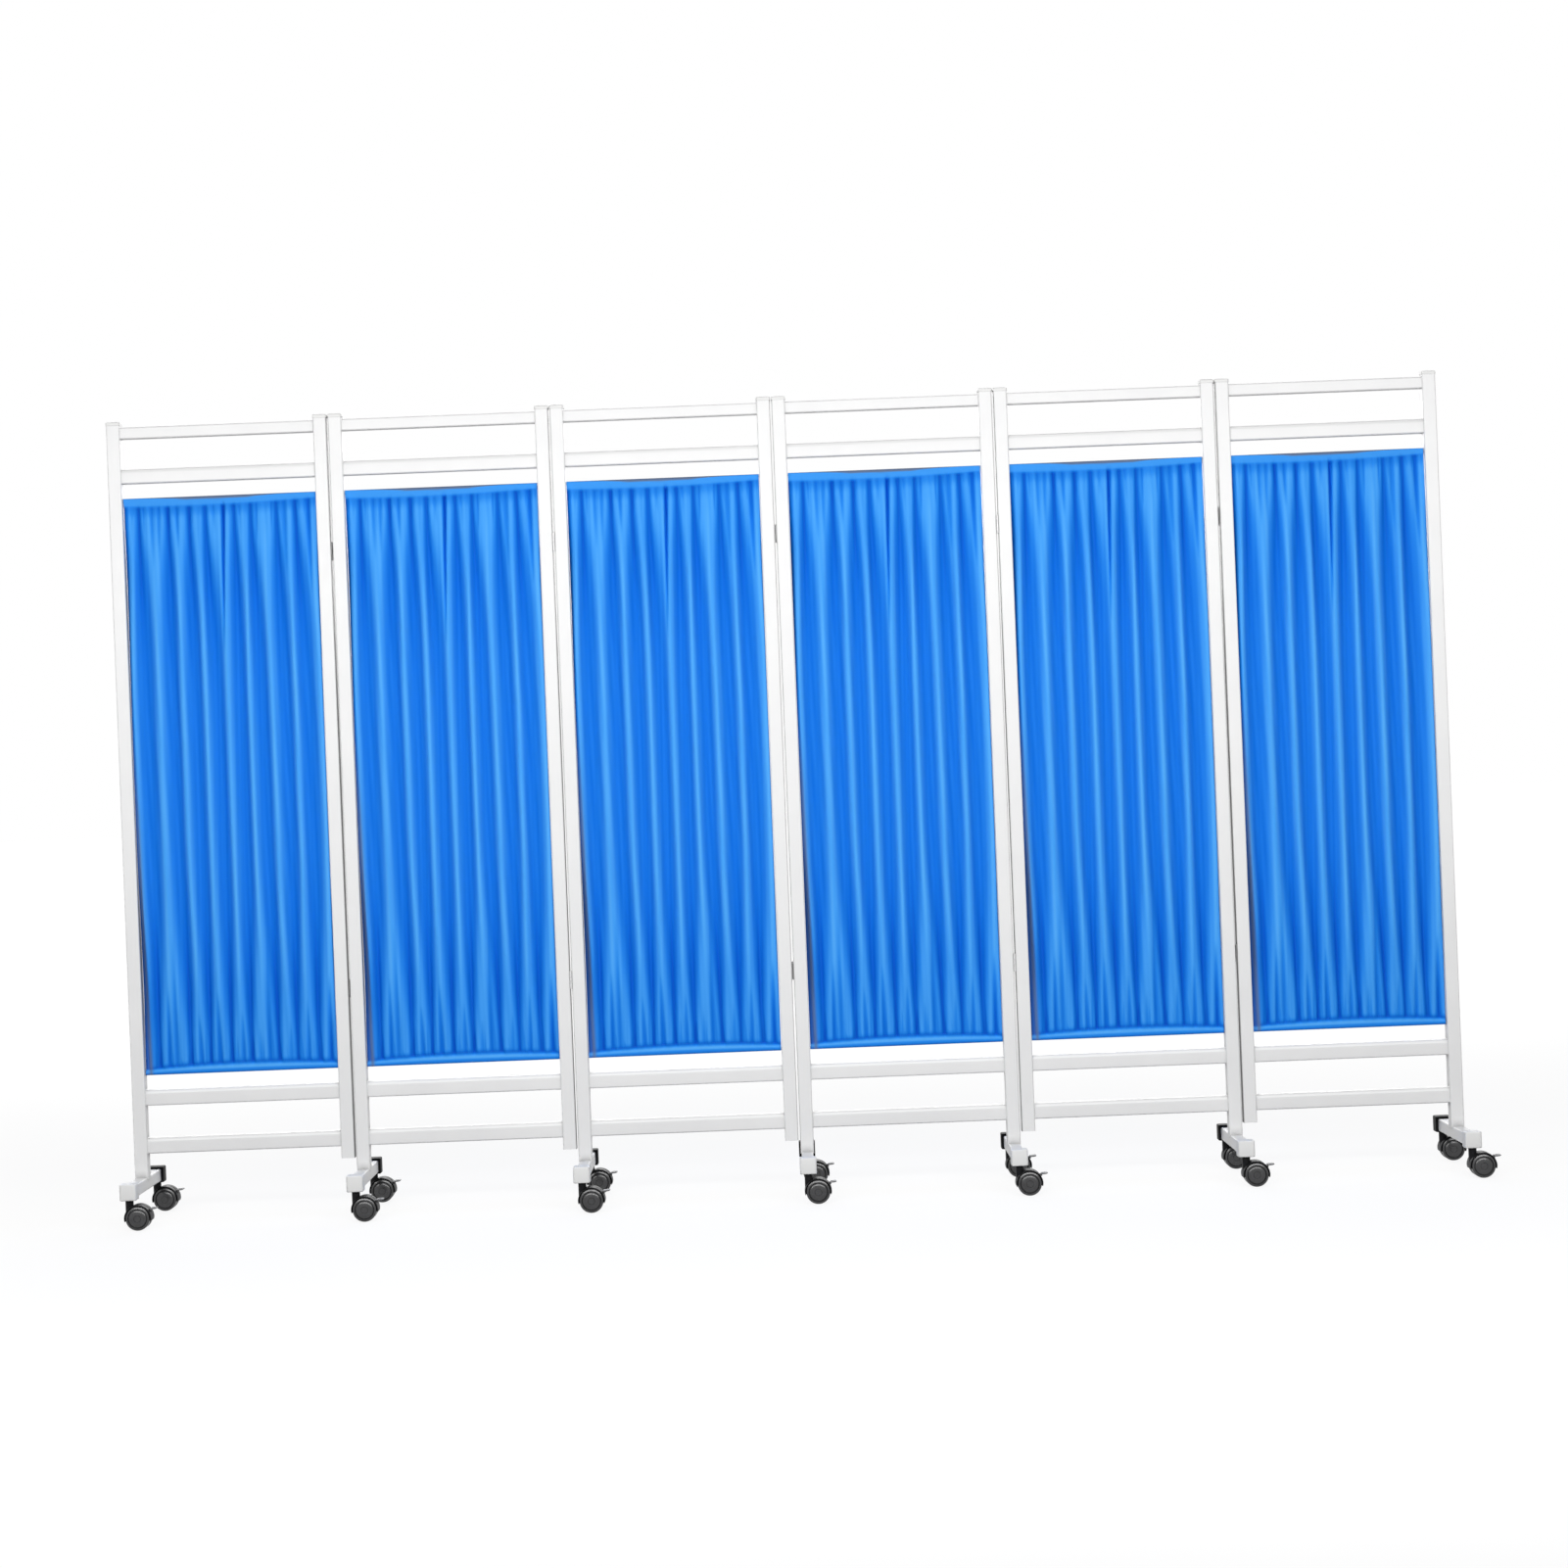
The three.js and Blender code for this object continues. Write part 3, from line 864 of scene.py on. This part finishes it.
def near_ends(fall, top_share=gathered_share, bottom_share=gathered_share):
    """How close a place down the cloth is to its top and to its bottom."""
    top = 1 - smooth_step(fall / top_share)
    bottom = smooth_step((fall - 1 + bottom_share) / bottom_share / bottom_hold_share)
    return top, bottom


def valley_width(fall):
    """How wide a valley is where the folds are pinched, as a share of the cloth's width."""
    root, wide, start, reach = top_valley_shares if fall < 0.5 else bottom_valley_shares
    run = min(fall, 1 - fall)
    return valley_width_share * mix(root, wide, smooth_step((run - start) / reach))


def puckers(turn):
    """Short creases along a row of stitches, with the values of the gather tables."""
    shift_share, lean_share, depth_share, reach_share, width_share = pucker_shares
    rows = []
    for k in range(pucker_count):
        shift, lean, deep, reach = (math.sin(times * turn + step * k) for times, step in pucker_turns)
        rows.append((
            (k + 0.5 + shift_share * shift) / pucker_count,
            lean_share * lean,
            depth_share * mix(pucker_even_share, 1, deep),
            reach_share * mix(pucker_even_share, 1, reach),
            width_share,
        ))
    return tuple(rows)


def place_down(table, fall):
    """Places across the cloth at one height, from those at its top, middle and bottom."""
    at_top, at_middle, at_bottom = np.array(table).T
    top, bottom = near_ends(fall)
    return at_middle + (at_top - at_middle) * top + (at_bottom - at_middle) * bottom


def fold_row(share, fall):
    """How far forward the cloth stands across one row, from 0 in a valley to 1 on a ridge."""
    valleys = place_down(valley_shares, fall)
    knots = np.empty(len(ridge_shares) + len(valley_shares))
    knots[0::2] = valleys
    knots[1::2] = place_down(ridge_shares, fall)
    hanging = swing(np.interp(share, knots, np.arange(len(knots)))) ** ridge_power
    away = np.abs(share[:, None] - valleys[None, :]).min(axis=1)
    gathered = 1 - np.exp(-((away / valley_width(fall)) ** valley_power))
    return mix(hanging, gathered, max(near_ends(fall, top_pinch_share, bottom_pinch_share)))


def fold_light_and_shade(across, fall):
    """Painted shade of the valleys and painted light of the ridges."""
    top, bottom = near_ends(fall)
    low = mix(valley_tone, gathered_tone, np.maximum(top, bottom) ** 2)
    # Painted shade dims the ridges near the top, the bottom and the lower left corner
    high = ridge_tone - top_dimming * (1 - smooth_step(fall / top_dim_share))
    high = high - bottom_dimming * smooth_step((fall - bottom_dim_start_share) / bottom_dim_share)
    high = high - corner_dimming * bottom * hump(across, 0, corner_dim_share)
    return low, high


def creases(across, fall):
    """How deep the gathers and puckers cut into the folds, from both rows of stitches."""
    total = np.zeros_like(across)
    for table, run in (
        (top_gather_shares + puckers(top_pucker_turn), fall),
        (bottom_gather_shares + puckers(bottom_pucker_turn), 1 - fall),
    ):
        for spot, lean, deep, reach, width in table:
            way = clamp01(run / reach)
            narrowed = width * mix(crease_root_share, crease_tip_share, way)
            total += deep * (1 - way ** 2) * hump(across, spot + lean * way, narrowed)
    return total


def phases(waves, across, fall):
    return [across * over + fall * along for over, along in waves]


def side_hem(across, fall):
    """Whether a place lies in the hem beside the side seam, and how grey it is there."""
    line = hem_line_share + hem_lean_share * fall ** 2
    beyond = smooth_step((line - across) / (2 * seam_width_share) + 0.5)
    grey = hem_grey * beyond + seam_grey * hump(across, line, seam_width_share)
    return beyond, grey * smooth_step((fall - seam_start_share) / seam_fade_share)


def cloth_surface(share, down):
    """Depth, tone and seam of the cloth at shares across and down it; the tone holds painted shade and
    light.
    """
    crest = np.array([fold_row(share, fall) for fall in down])
    across, fall = np.meshgrid(share, down)
    rise = 1 - fall
    held = smooth_step(fall / held_share) * smooth_step(rise / held_share)
    cut = creases(across, fall)
    beyond, seam = side_hem(across, fall)
    depth = (1 - 2 * crest) * mix(held_strength, 1, held) * fold_depth / 2 + gather_depth * cut
    fine, broad = phases(wrinkle_waves, across, fall)
    depth = depth + wrinkle_depth * np.sin(fine) * np.sin(broad) * held
    depth = depth + hem_set_back * beyond * held
    # The ridge-to-valley tone, with painted shade cut into each gather and pucker
    tone = mix(*fold_light_and_shade(across, fall), crest) - crease_shade_tone * cut
    fine, broad, sway = phases(streak_waves, across, fall)
    tone = tone + streak_tone * np.sin(fine + streak_sway * np.sin(sway)) * np.sin(broad)
    # Painted shade on the set-back hem beside the side seam
    tone = mix(tone, hem_shade_tone, beyond)
    for run, (kept, reach) in ((fall, top_shadow_shares), (rise, bottom_shadow_shares)):
        tone = tone * mix(kept, 1, smooth_step(run / reach))
    return depth, clamp01(tone), seam


def column_shares():
    """Places of the mesh's columns, closer together along the side seam."""
    hem = np.linspace(0, hem_zone_share, hem_columns, endpoint=False)
    return np.concatenate((hem, np.linspace(hem_zone_share, 1, cloth_columns)))


def row_falls():
    """Places of the mesh's rows, closer together at both gathered ends."""
    even = np.linspace(0, 1, body_rows)
    return mix(even, swing(even), row_crowding_share)


def pocket_heights(share):
    """Heights of the upper and the lower pocket across the cloth."""
    upper = mix(*upper_pocket_sides, share) + upper_pocket_middle * arch(share)
    lower = mix(*lower_pocket_sides, share) + lower_pocket_middle * arch(share)
    return upper, lower


def stitch_heights(share):
    """How high the stitches that close each pocket lie across the cloth."""
    upper, lower = pocket_heights(share)
    return upper_rod_height + pocket_bulge - upper, lower_rod_height - pocket_bulge + lower


def pocket_section(height):
    """Half a pocket's section from its stitches to its crown, about the rod.

    Each point has its distance out and up from the rod's middle and its share of the way to the crown.
    """
    hang = height - pocket_bulge
    leaving = np.arccos(pocket_bulge / hang)
    points = []
    for i in range(flat_rows):
        run = i / flat_rows
        out = pocket_bulge * np.sin(leaving) * run + cloth_thickness * (1 - run)
        out = out + pocket_puff * math.sin(math.pi * run)
        points.append((out, (hang - pocket_bulge * np.cos(leaving)) * run - hang))
    for i in range(round_rows + 1):
        angle = leaving + (math.pi - leaving) * i / round_rows
        points.append((pocket_bulge * np.sin(angle), -pocket_bulge * np.cos(angle)))
    return [(out, up, (up + hang) / height) for out, up in points]


def curtain_rows(share):
    """Points, tones and seams of the cloth, row by row from its upper to its lower stitches."""
    x = mix(-cloth_half, cloth_half, share)
    upper_height, lower_height = pocket_heights(share)
    stitch_top, stitch_low = stitch_heights(share)
    down = row_falls()
    depth, tone, seam = cloth_surface(share, down)
    sliver = sliver_height * hump(x, sliver_middle, sliver_reach)
    rows = []

    def add_row(y, z, row_tone, row_seam):
        rows.append((np.column_stack((x, y, z)), row_tone, row_seam))

    def add_pocket_row(point, facing, end):
        out, up, way = point
        pull = (1 - clamp01(way / pocket_pull_share)) ** 2
        if end == 0:
            z = upper_rod_height + up
            # Painted shade by the stitches and painted light toward the header's crown
            band = mix(*header_shade_tones, smooth_step(way / header_rise_share))
            grey = smooth_step((sliver - pocket_bulge + up) / sliver_edge + 0.5)
        else:
            z = lower_rod_height - up
            # Painted highlight along the rod inside the hem, brightest in the middle
            pale = hem_rod_highlight + hem_middle_tone * arch(share)
            band = hem_band_tone + pale * hump(way, hem_rod_share, hem_rod_width_share)
            grey = seam[end]
        blended = mix(band, tone[end], 1 - clamp01(way / pocket_blend_share))
        add_row(facing * out + depth[end] * pull, z, blended, grey)

    def add_pocket(section, facing, end):
        for point in section:
            add_pocket_row(point, facing, end)
        for point in section[::-1][1:]:
            add_pocket_row(point, -facing, end)

    add_pocket(pocket_section(upper_height), 1, 0)
    for i in range(1, body_rows - 1):
        add_row(depth[i], mix(stitch_top, stitch_low, down[i]), tone[i], seam[i])
    add_pocket(pocket_section(lower_height), -1, -1)
    return zip(*rows)


def curtain_mesh():
    """One gathered cloth about X = 0 with a sewn pocket round each rod, as a closed thin sheet."""
    share = column_shares()
    rows, tones, seams = curtain_rows(share)
    count = len(share)
    faces = [
        (r * count + c, r * count + c + 1, (r + 1) * count + c + 1, (r + 1) * count + c)
        for r in range(len(rows) - 1)
        for c in range(count - 1)
    ]
    mesh = bpy.data.meshes.new("curtain_sheet")
    mesh.from_pydata([tuple(p) for p in np.concatenate(rows)], [], faces)
    for name, values in (("fold", tones), ("seam", seams)):
        attribute = mesh.attributes.new(name, "FLOAT", "POINT")
        attribute.data.foreach_set("value", clamp01(np.concatenate(values)).astype(np.float32))
    piece = add_object("curtain_sheet", mesh)
    thicken = piece.modifiers.new("thickness", "SOLIDIFY")
    thicken.thickness = cloth_thickness
    thicken.offset = 0
    made = modified_mesh(piece)
    bpy.data.objects.remove(piece)
    for polygon in made.polygons:
        polygon.use_smooth = True
    return made


def stitch_lines():
    """Rows of thread that close both pockets, about X = 0, as one mesh."""
    share = column_shares()
    depth = cloth_surface(share, np.array((0.0, 1.0)))[0]
    thread = circle(stitch_radius, stitch_sides)
    count = int(2 * (cloth_half - stitch_pitch) / stitch_pitch)
    bm = bmesh.new()
    for surface, line in zip(depth, stitch_heights(share)):
        for i in range(count):
            middle = (i - (count - 1) / 2) * stitch_pitch
            rings = []
            for run, thick in stitch_shares:
                x = middle + run * stitch_length
                way = (x + cloth_half) / (2 * cloth_half)
                y = float(np.interp(way, share, surface)) - cloth_thickness * stitch_out_share
                z = float(np.interp(way, share, line))
                rings.append([(x, y + cy * thick, z + cz * thick) for cy, cz in thread])
            add_loft(bm, rings)
    return settled(new_mesh("stitch_shape", bm, round_crease), round_crease)


def hang_curtain(panel, cloth, stitches):
    offset = (panel_middle(panel), 0, 0)
    piece = copy_of(cloth, f"curtain_cloth_{panel}", offset)
    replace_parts(piece, f"curtain_{panel}")
    place(piece, f"panel_{panel}", cloth_finish)
    sewing = copy_of(stitches, f"curtain_stitches_{panel}", offset)
    place(sewing, f"panel_{panel}", thread_finish)


# Hinges

def knuckle_spans(middle):
    length = (hinge_length - 2 * knuckle_gap) / 3
    starts = [middle - hinge_length / 2 + i * (length + knuckle_gap) for i in range(3)]
    return [(start, start + length) for start in starts]


def add_box(bm, corner, opposite):
    """A box between two opposite corners, given in any order."""
    (x0, x1), (y0, y1), (z0, z1) = (sorted(pair) for pair in zip(corner, opposite))
    add_loft(bm, [[(x0, y0, z), (x1, y0, z), (x1, y1, z), (x0, y1, z)] for z in (z0, z1)])


def add_knuckle(bm, line, bottom, top, with_pin):
    """A knuckle about a hinge line: solid where it holds the pin, and a sleeve where it turns on it."""
    if with_pin:
        rim = knuckle_radius - knuckle_chamfer
        add_post(bm, line.x, line.y, [
            (rim, bottom), (knuckle_radius, bottom + knuckle_chamfer),
            (knuckle_radius, top - knuckle_chamfer), (rim, top),
        ])
        return
    bore = pin_radius + knuckle_gap
    sleeve = [(bore, bottom), (knuckle_radius, bottom), (knuckle_radius, top), (bore, top)]
    rings = [[(line.x + px, line.y + py, z) for px, py in circle(r)] for r, z in sleeve]
    add_loft(bm, rings + rings[:1], closed=False)


def add_pin(bm, line, bottom, top):
    head = pin_radius * pin_head_share
    add_post(bm, line.x, line.y, [
        (pin_radius, bottom), (pin_radius, top), (head, top), (head, top + pin_head_height / 2),
        (head * pin_top_share, top + pin_head_height),
    ])


def hinge_half(junction, with_pin):
    """The leaves, knuckles and pins that one panel carries at a junction, at both heights."""
    line = joint_places[f"panel_hinge_{junction}_{junction + 1}"]
    facing = 1 if line.y > 0 else -1
    side = -1 if with_pin else 1
    x_stile = line.x + side * panel_gap / 2
    x_face = x_stile - side * leaf_thickness
    y_near = line.y - facing * (knuckle_radius + knuckle_gap)
    y_far = line.y - facing * leaf_width
    bm = bmesh.new()
    for middle in hinge_heights:
        spans = knuckle_spans(middle)
        bottom, top = middle - hinge_length / 2, middle + hinge_length / 2
        add_box(bm, (x_stile, y_near, bottom), (x_face, y_far, top))
        for bottom, top in (spans[0::2] if with_pin else spans[1:2]):
            add_box(bm, (x_stile, y_near, bottom), (x_face, line.y, top))
            add_knuckle(bm, line, bottom, top, with_pin)
        if with_pin:
            add_pin(bm, line, spans[0][0], spans[2][1])
    bmesh.ops.remove_doubles(bm, verts=bm.verts, dist=seal_reach)
    label = "pins" if with_pin else "sleeves"
    panel = junction if with_pin else junction + 1
    place(new_mesh(f"hinge_{label}_{junction}", bm), f"panel_{panel}", hinge_finish)


# Feet

def block_mesh():
    """A foot's end block about its swivel axis, with a bore for the caster's stem."""
    turns = [i / corner_steps * math.pi / 2 for i in range(corner_steps + 1)]
    arc = [(block_round * (1 - math.sin(t)), block_round * (1 - math.cos(t))) for t in turns]
    levels = [(inset, block_bottom + rise) for inset, rise in arc]
    levels += [(inset, block_top - rise) for inset, rise in arc[::-1]]
    bm = bmesh.new()
    rings = []
    for inset, z in levels:
        corner = block_corner - inset * block_corner_share
        block = rounded_loop(block_width - 2 * inset, block_length - 2 * inset, corner)
        rings.append([(px, py, z) for px, py in block])
    add_loft(bm, rings)
    shell = new_mesh("block", bm)
    bm = bmesh.new()
    bore = stem_radius + stem_gap
    bore_top = block_bottom + stem_length + stem_gap
    add_post(bm, 0, 0, [(bore, block_bottom - stem_gap), (bore, bore_top)], stem_bore_sides)
    combine(shell, new_mesh("bore", bm), "DIFFERENCE")
    return settled(shell)


def stem_mesh():
    """A caster's steel stem, from its hood up into the foot's end block."""
    bm = bmesh.new()
    low = block_bottom - boss_gap - stem_gap
    high = block_bottom + stem_length
    tip = stem_radius * stem_tip_share
    add_post(bm, 0, 0, [(stem_radius, low), (stem_radius, high - stem_radius + tip), (tip, high)])
    return settled(new_mesh("stem_shape", bm))


def foot_bar(number, panel, x, reach):
    bm = bmesh.new()
    loop = rounded_loop(foot_bar_width, foot_bar_top - foot_bar_bottom, foot_bar_corner)
    middle = (foot_bar_top + foot_bar_bottom) / 2
    end = reach - block_length / 2 + joint_overlap
    add_loft(bm, [[(x + px, y, middle + pz) for px, pz in loop] for y in (-end, end)])
    place(new_mesh(f"foot_bar_{number}", bm), f"panel_{panel}", white_paint)


# Casters, each made once about its swivel axis and copied

def turned_solid(name, x, z, profile, sides=wheel_sides):
    bm = bmesh.new()
    add_turned_y(bm, x, z, profile, sides)
    return new_mesh(name, bm)


def block_solid(name, low, high):
    bm = bmesh.new()
    add_box(bm, low, high)
    return new_mesh(name, bm)


def hood_mesh(axle_height, boss_top):
    """The mudguard over both wheels, its middle web, its swivel boss and the pedal's slot."""
    x, z = caster_trail, axle_height
    half, far = hood_half_width, 2 * hood_radius
    rim = [(hood_radius - hood_round * inset, half - hood_round * back) for inset, back in hood_edge_shares]
    shell = turned_solid("hood", x, z, [(radius, -y) for radius, y in rim] + rim[::-1])
    taper = turned_solid("taper", x, z + hood_taper, [(hood_radius, -far), (hood_radius, far)])
    combine(shell, taper, "INTERSECT")
    bm = bmesh.new()
    add_post(bm, 0, 0, [
        (boss_radius, z + hood_radius * boss_foot_share), (boss_radius, boss_top - boss_chamfer),
        (boss_radius - boss_chamfer, boss_top),
    ], boss_sides)
    combine(shell, new_mesh("boss", bm), "UNION")
    below = block_solid("below", (x - far, -far, z - far), (x + far, far, z - hood_skirt))
    combine(shell, below, "DIFFERENCE")
    for side in (-1, 1):
        near, end = sorted((side * web_half, side * (half + hood_round)))
        well = turned_solid("well", x, z, [(hood_radius - hood_wall, near), (hood_radius - hood_wall, end)])
        combine(shell, well, "DIFFERENCE")
    web = turned_solid("web", x, z, [(web_radius, -web_half), (web_radius, web_half)])
    combine(shell, web, "UNION")
    pivot_x, pivot_z = x + pedal_pivot[0], z + pedal_pivot[1]
    slot_half = pedal_arm_half + knuckle_gap
    combine(shell, block_solid(
        "slot", (pivot_x - slot_behind, -slot_half, pivot_z - slot_below),
        (pivot_x + hood_radius, slot_half, pivot_z + hood_radius),
    ), "DIFFERENCE")
    return settled(shell)


def wheels_mesh(axle_height):
    """Two wheels on one axle, each with a groove inside its rim and a domed face with a ring."""
    profile = [(axle_radius, wheel_inner)]
    profile += [(wheel_radius - inset, wheel_inner + out) for inset, out in inner_rim]
    profile += [(wheel_radius - inset, wheel_outer - back) for inset, back in outer_rim]
    profile += [(wheel_radius * way, wheel_outer + wheel_dome * out) for way, out in wheel_face_shares]
    bm = bmesh.new()
    for side in (-1, 1):
        mirrored = [(radius, side * y) for radius, y in profile]
        add_turned_y(bm, caster_trail, axle_height, mirrored, wheel_sides)
    axle = [(axle_radius, -wheel_inner), (axle_radius, wheel_inner)]
    add_turned_y(bm, caster_trail, axle_height, axle, round_sides)
    return settled(new_mesh("wheels_shape", bm))


def add_pad(bm, start, top):
    """The pedal's curved pad, which rises and rounds off toward its tip."""
    rings = []
    for i in range(pad_steps + 1):
        share = i / pad_steps
        before_tip = min(1.0, (1 - share) / pad_round_share)
        full = math.sin(mix(pad_tip_share, 1, before_tip) * math.pi / 2)
        thick = pedal_thickness * mix(pad_tip_thickness_share, 1, full)
        wide = pedal_width * mix(pad_tip_width_share, 1, full)
        x = start + (pedal_end - pedal_start) * share
        middle = top - pedal_thickness / 2 - pad_sink + pad_lift * share * share
        loop = rounded_loop(wide, thick, min(thick * pad_corner_share, pad_corner), pad_corner_steps)
        rings.append([(x, py, middle + pz) for py, pz in loop])
    add_loft(bm, rings)


def add_grips(bm, start, top):
    """Ridges across the pad, each a little narrower at its top."""
    ridge = rounded_loop(grip_width, pedal_width * grip_length_share, grip_corner, small_corner_steps)
    foot = top - grip_height
    levels = ((1, foot - grip_root), (1, foot), (grip_top_share, top))
    for i in range(grip_count):
        x = start + grip_start + grip_pitch * i
        add_loft(bm, [[(x + px * narrow, py, z) for px, py in ridge] for narrow, z in levels])


def pedal_mesh(axle_height):
    """A pedal with a curved pad, grip ridges, an arm and its pin."""
    bm = bmesh.new()
    start, top = caster_trail + pedal_start, axle_height + pedal_top
    add_pad(bm, start, top)
    add_grips(bm, start, top)
    pivot_x, pivot_z = caster_trail + pedal_pivot[0], axle_height + pedal_pivot[1]
    arm = rounded_loop(2 * pedal_arm_half, arm_height, arm_corner, small_corner_steps)
    arm_ends = (pivot_x - arm_behind, start + arm_ahead)
    add_loft(bm, [[(x, py, pivot_z + pz) for py, pz in arm] for x in arm_ends])
    half_pin = pedal_pin_length / 2
    pin = [(pedal_pin_radius, -half_pin), (pedal_pin_radius, half_pin)]
    add_turned_y(bm, pivot_x, pivot_z, pin, round_sides)
    return settled(new_mesh("pedal_shape", bm))


# Assembly

cloth = curtain_mesh()
stitches = stitch_lines()
for panel in range(1, panel_count + 1):
    frame_tubes(panel)
    stile_caps(panel)
    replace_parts(curtain_rod(panel, "upper_rod", upper_rod_height), f"upper_curtain_rod_{panel}")
    curtain_rod(panel, "lower_rod", lower_rod_height)
    hang_curtain(panel, cloth, stitches)
for junction in range(1, panel_count):
    hinge_half(junction, True)
    hinge_half(junction, False)

first_axle = joint_places["wheel_spin_1_front"].z
hood_shape = hood_mesh(first_axle, block_bottom - boss_gap)
wheels_shape = wheels_mesh(first_axle)
pedal_shape = pedal_mesh(first_axle)
stem_shape = stem_mesh()
block_shape = block_mesh()


def caster(tag, offset):
    hood = copy_of(hood_shape, f"hood_{tag}", offset)
    wheels = copy_of(wheels_shape, f"twin_wheels_{tag}", offset)
    pedal = copy_of(pedal_shape, f"pedal_lever_{tag}", offset)
    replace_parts(hood, f"caster_hood_{tag}")
    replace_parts(wheels, f"caster_wheels_{tag}")
    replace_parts(pedal, f"brake_pedal_{tag}")
    place(hood, f"caster_{tag}", hood_finish)
    place(wheels, f"wheels_{tag}", wheel_finish)
    place(pedal, f"pedal_{tag}", pedal_finish)
    place(copy_of(stem_shape, f"stem_{tag}", offset), f"caster_{tag}", rod_finish)


feet = [(panel, side) for panel in range(1, panel_count + 1) for side in (-1, 1) if has_foot(panel, side)]
for number, (panel, side) in enumerate(feet, 1):
    rear = joint_places[f"caster_swivel_{number}_rear"]
    foot_bar(number, panel, rear.x, rear.y)
    for end, slot, finish in (
        ("front", "frame_paint", white_plastic),
        ("rear", "caster_plastic", block_finish),
    ):
        swivel = joint_places[f"caster_swivel_{number}_{end}"]
        offset = (swivel.x, swivel.y, 0)
        block = copy_of(block_shape, f"foot_block_{number}_{end}", offset)
        place(block, f"panel_{panel}", finish)
        caster(f"{number}_{end}", offset)


# Stage, light and camera

def seen_directly(tree):
    """1 where a camera, glossy or transmission ray looks, which should all see the backdrop."""
    path = add_node(tree, "ShaderNodeLightPath")
    total = path.outputs["Is Camera Ray"]
    for name in ("Is Glossy Ray", "Is Transmission Ray"):
        either = add_node(tree, "ShaderNodeMath")
        either.operation = "MAXIMUM"
        for source, socket in zip((total, path.outputs[name]), either.inputs):
            tree.links.new(source, socket)
        total = either.outputs[0]
    return total


def show_by_ray(tree, output_kind, indirect, direct):
    """Shows one shader to the rays that light the object and another to those that look directly."""
    choice = add_node(tree, "ShaderNodeMixShader")
    sources = (seen_directly(tree), indirect.outputs[0], direct.outputs[0])
    for source, socket in zip(sources, choice.inputs):
        tree.links.new(source, socket)
    add_node(tree, output_kind, Surface=choice.outputs[0])


def floor_material():
    """A pale shaded floor that fades to plain white away from the screen."""
    material = bpy.data.materials.new("floor")
    material.use_nodes = True
    tree = material.node_tree
    tree.nodes.clear()
    distance = add_node(tree, "ShaderNodeVectorMath")
    distance.operation = "LENGTH"
    tree.links.new(add_node(tree, "ShaderNodeNewGeometry").outputs["Position"], distance.inputs[0])
    fade = add_node(
        tree, "ShaderNodeMapRange", Value=distance.outputs["Value"],
        From_Min=fade_start, From_Max=fade_end, To_Min=near_glow, To_Max=1.0,
    )
    fade.interpolation_type = "SMOOTHSTEP"
    glow = add_node(tree, "ShaderNodeEmission", Color=white, Strength=fade.outputs["Result"])
    shaded = add_node(tree, "ShaderNodeBsdfDiffuse", Color=(0.16, 0.16, 0.16, 1))
    seen = add_node(tree, "ShaderNodeAddShader")
    for source, socket in zip((shaded, glow), seen.inputs):
        tree.links.new(source.outputs[0], socket)
    plain = add_node(tree, "ShaderNodeBsdfDiffuse", Color=(0.18, 0.18, 0.18, 1))
    show_by_ray(tree, "ShaderNodeOutputMaterial", plain, seen)
    return material


def studio_floor():
    mesh = bpy.data.meshes.new("floor")
    signs = ((-1, -1), (1, -1), (1, 1), (-1, 1))
    mesh.from_pydata([(x * floor_reach, y * floor_reach, 0) for x, y in signs], [], [(0, 1, 2, 3)])
    mesh.materials.append(floor_material())
    add_object("floor", mesh)


def studio_world():
    world = bpy.data.worlds.new("studio")
    world.use_nodes = True
    bpy.context.scene.world = world
    tree = world.node_tree
    tree.nodes.clear()
    ambient = add_node(tree, "ShaderNodeBackground", Color=white, Strength=ambient_strength)
    backdrop = add_node(tree, "ShaderNodeBackground", Color=white, Strength=1.0)
    show_by_ray(tree, "ShaderNodeOutputWorld", ambient, backdrop)


def area_light(name, location, size, energy):
    data = bpy.data.lights.new(name, "AREA")
    data.shape = "RECTANGLE"
    data.size, data.size_y = size
    data.energy = energy
    lamp = add_object(name, data)
    lamp.location = location
    direction = Vector(lamp_target) - Vector(location)
    lamp.rotation_euler = direction.to_track_quat("-Z", "Y").to_euler()
    lamp.visible_camera = False


def photo_camera():
    """The camera of the photograph: straight on, a little rolled, with its view slightly shifted."""
    centre = (panel_middle(middle_panel - 1) + panel_middle(middle_panel)) / 2
    right = Vector((math.cos(camera_roll), 0, -math.sin(camera_roll)))
    up = Vector((math.sin(camera_roll), 0, math.cos(camera_roll)))
    back = Vector((0, -1, 0))
    data = bpy.data.cameras.new("camera")
    data.sensor_width = 36.0
    data.lens = 69.8
    data.shift_x = 0.0034
    data.shift_y = -0.0097
    camera = add_object("camera", data)
    spot = Vector((centre - camera_aside, -camera_distance, camera_height))
    camera.matrix_world = Matrix.Translation(spot) @ Matrix((right, up, back)).transposed().to_4x4()
    bpy.context.scene.camera = camera


studio_floor()
studio_world()
for name, (location, size, energy) in lamps.items():
    area_light(name, location, size, energy)
photo_camera()
bpy.context.scene.view_settings.view_transform = "Standard"
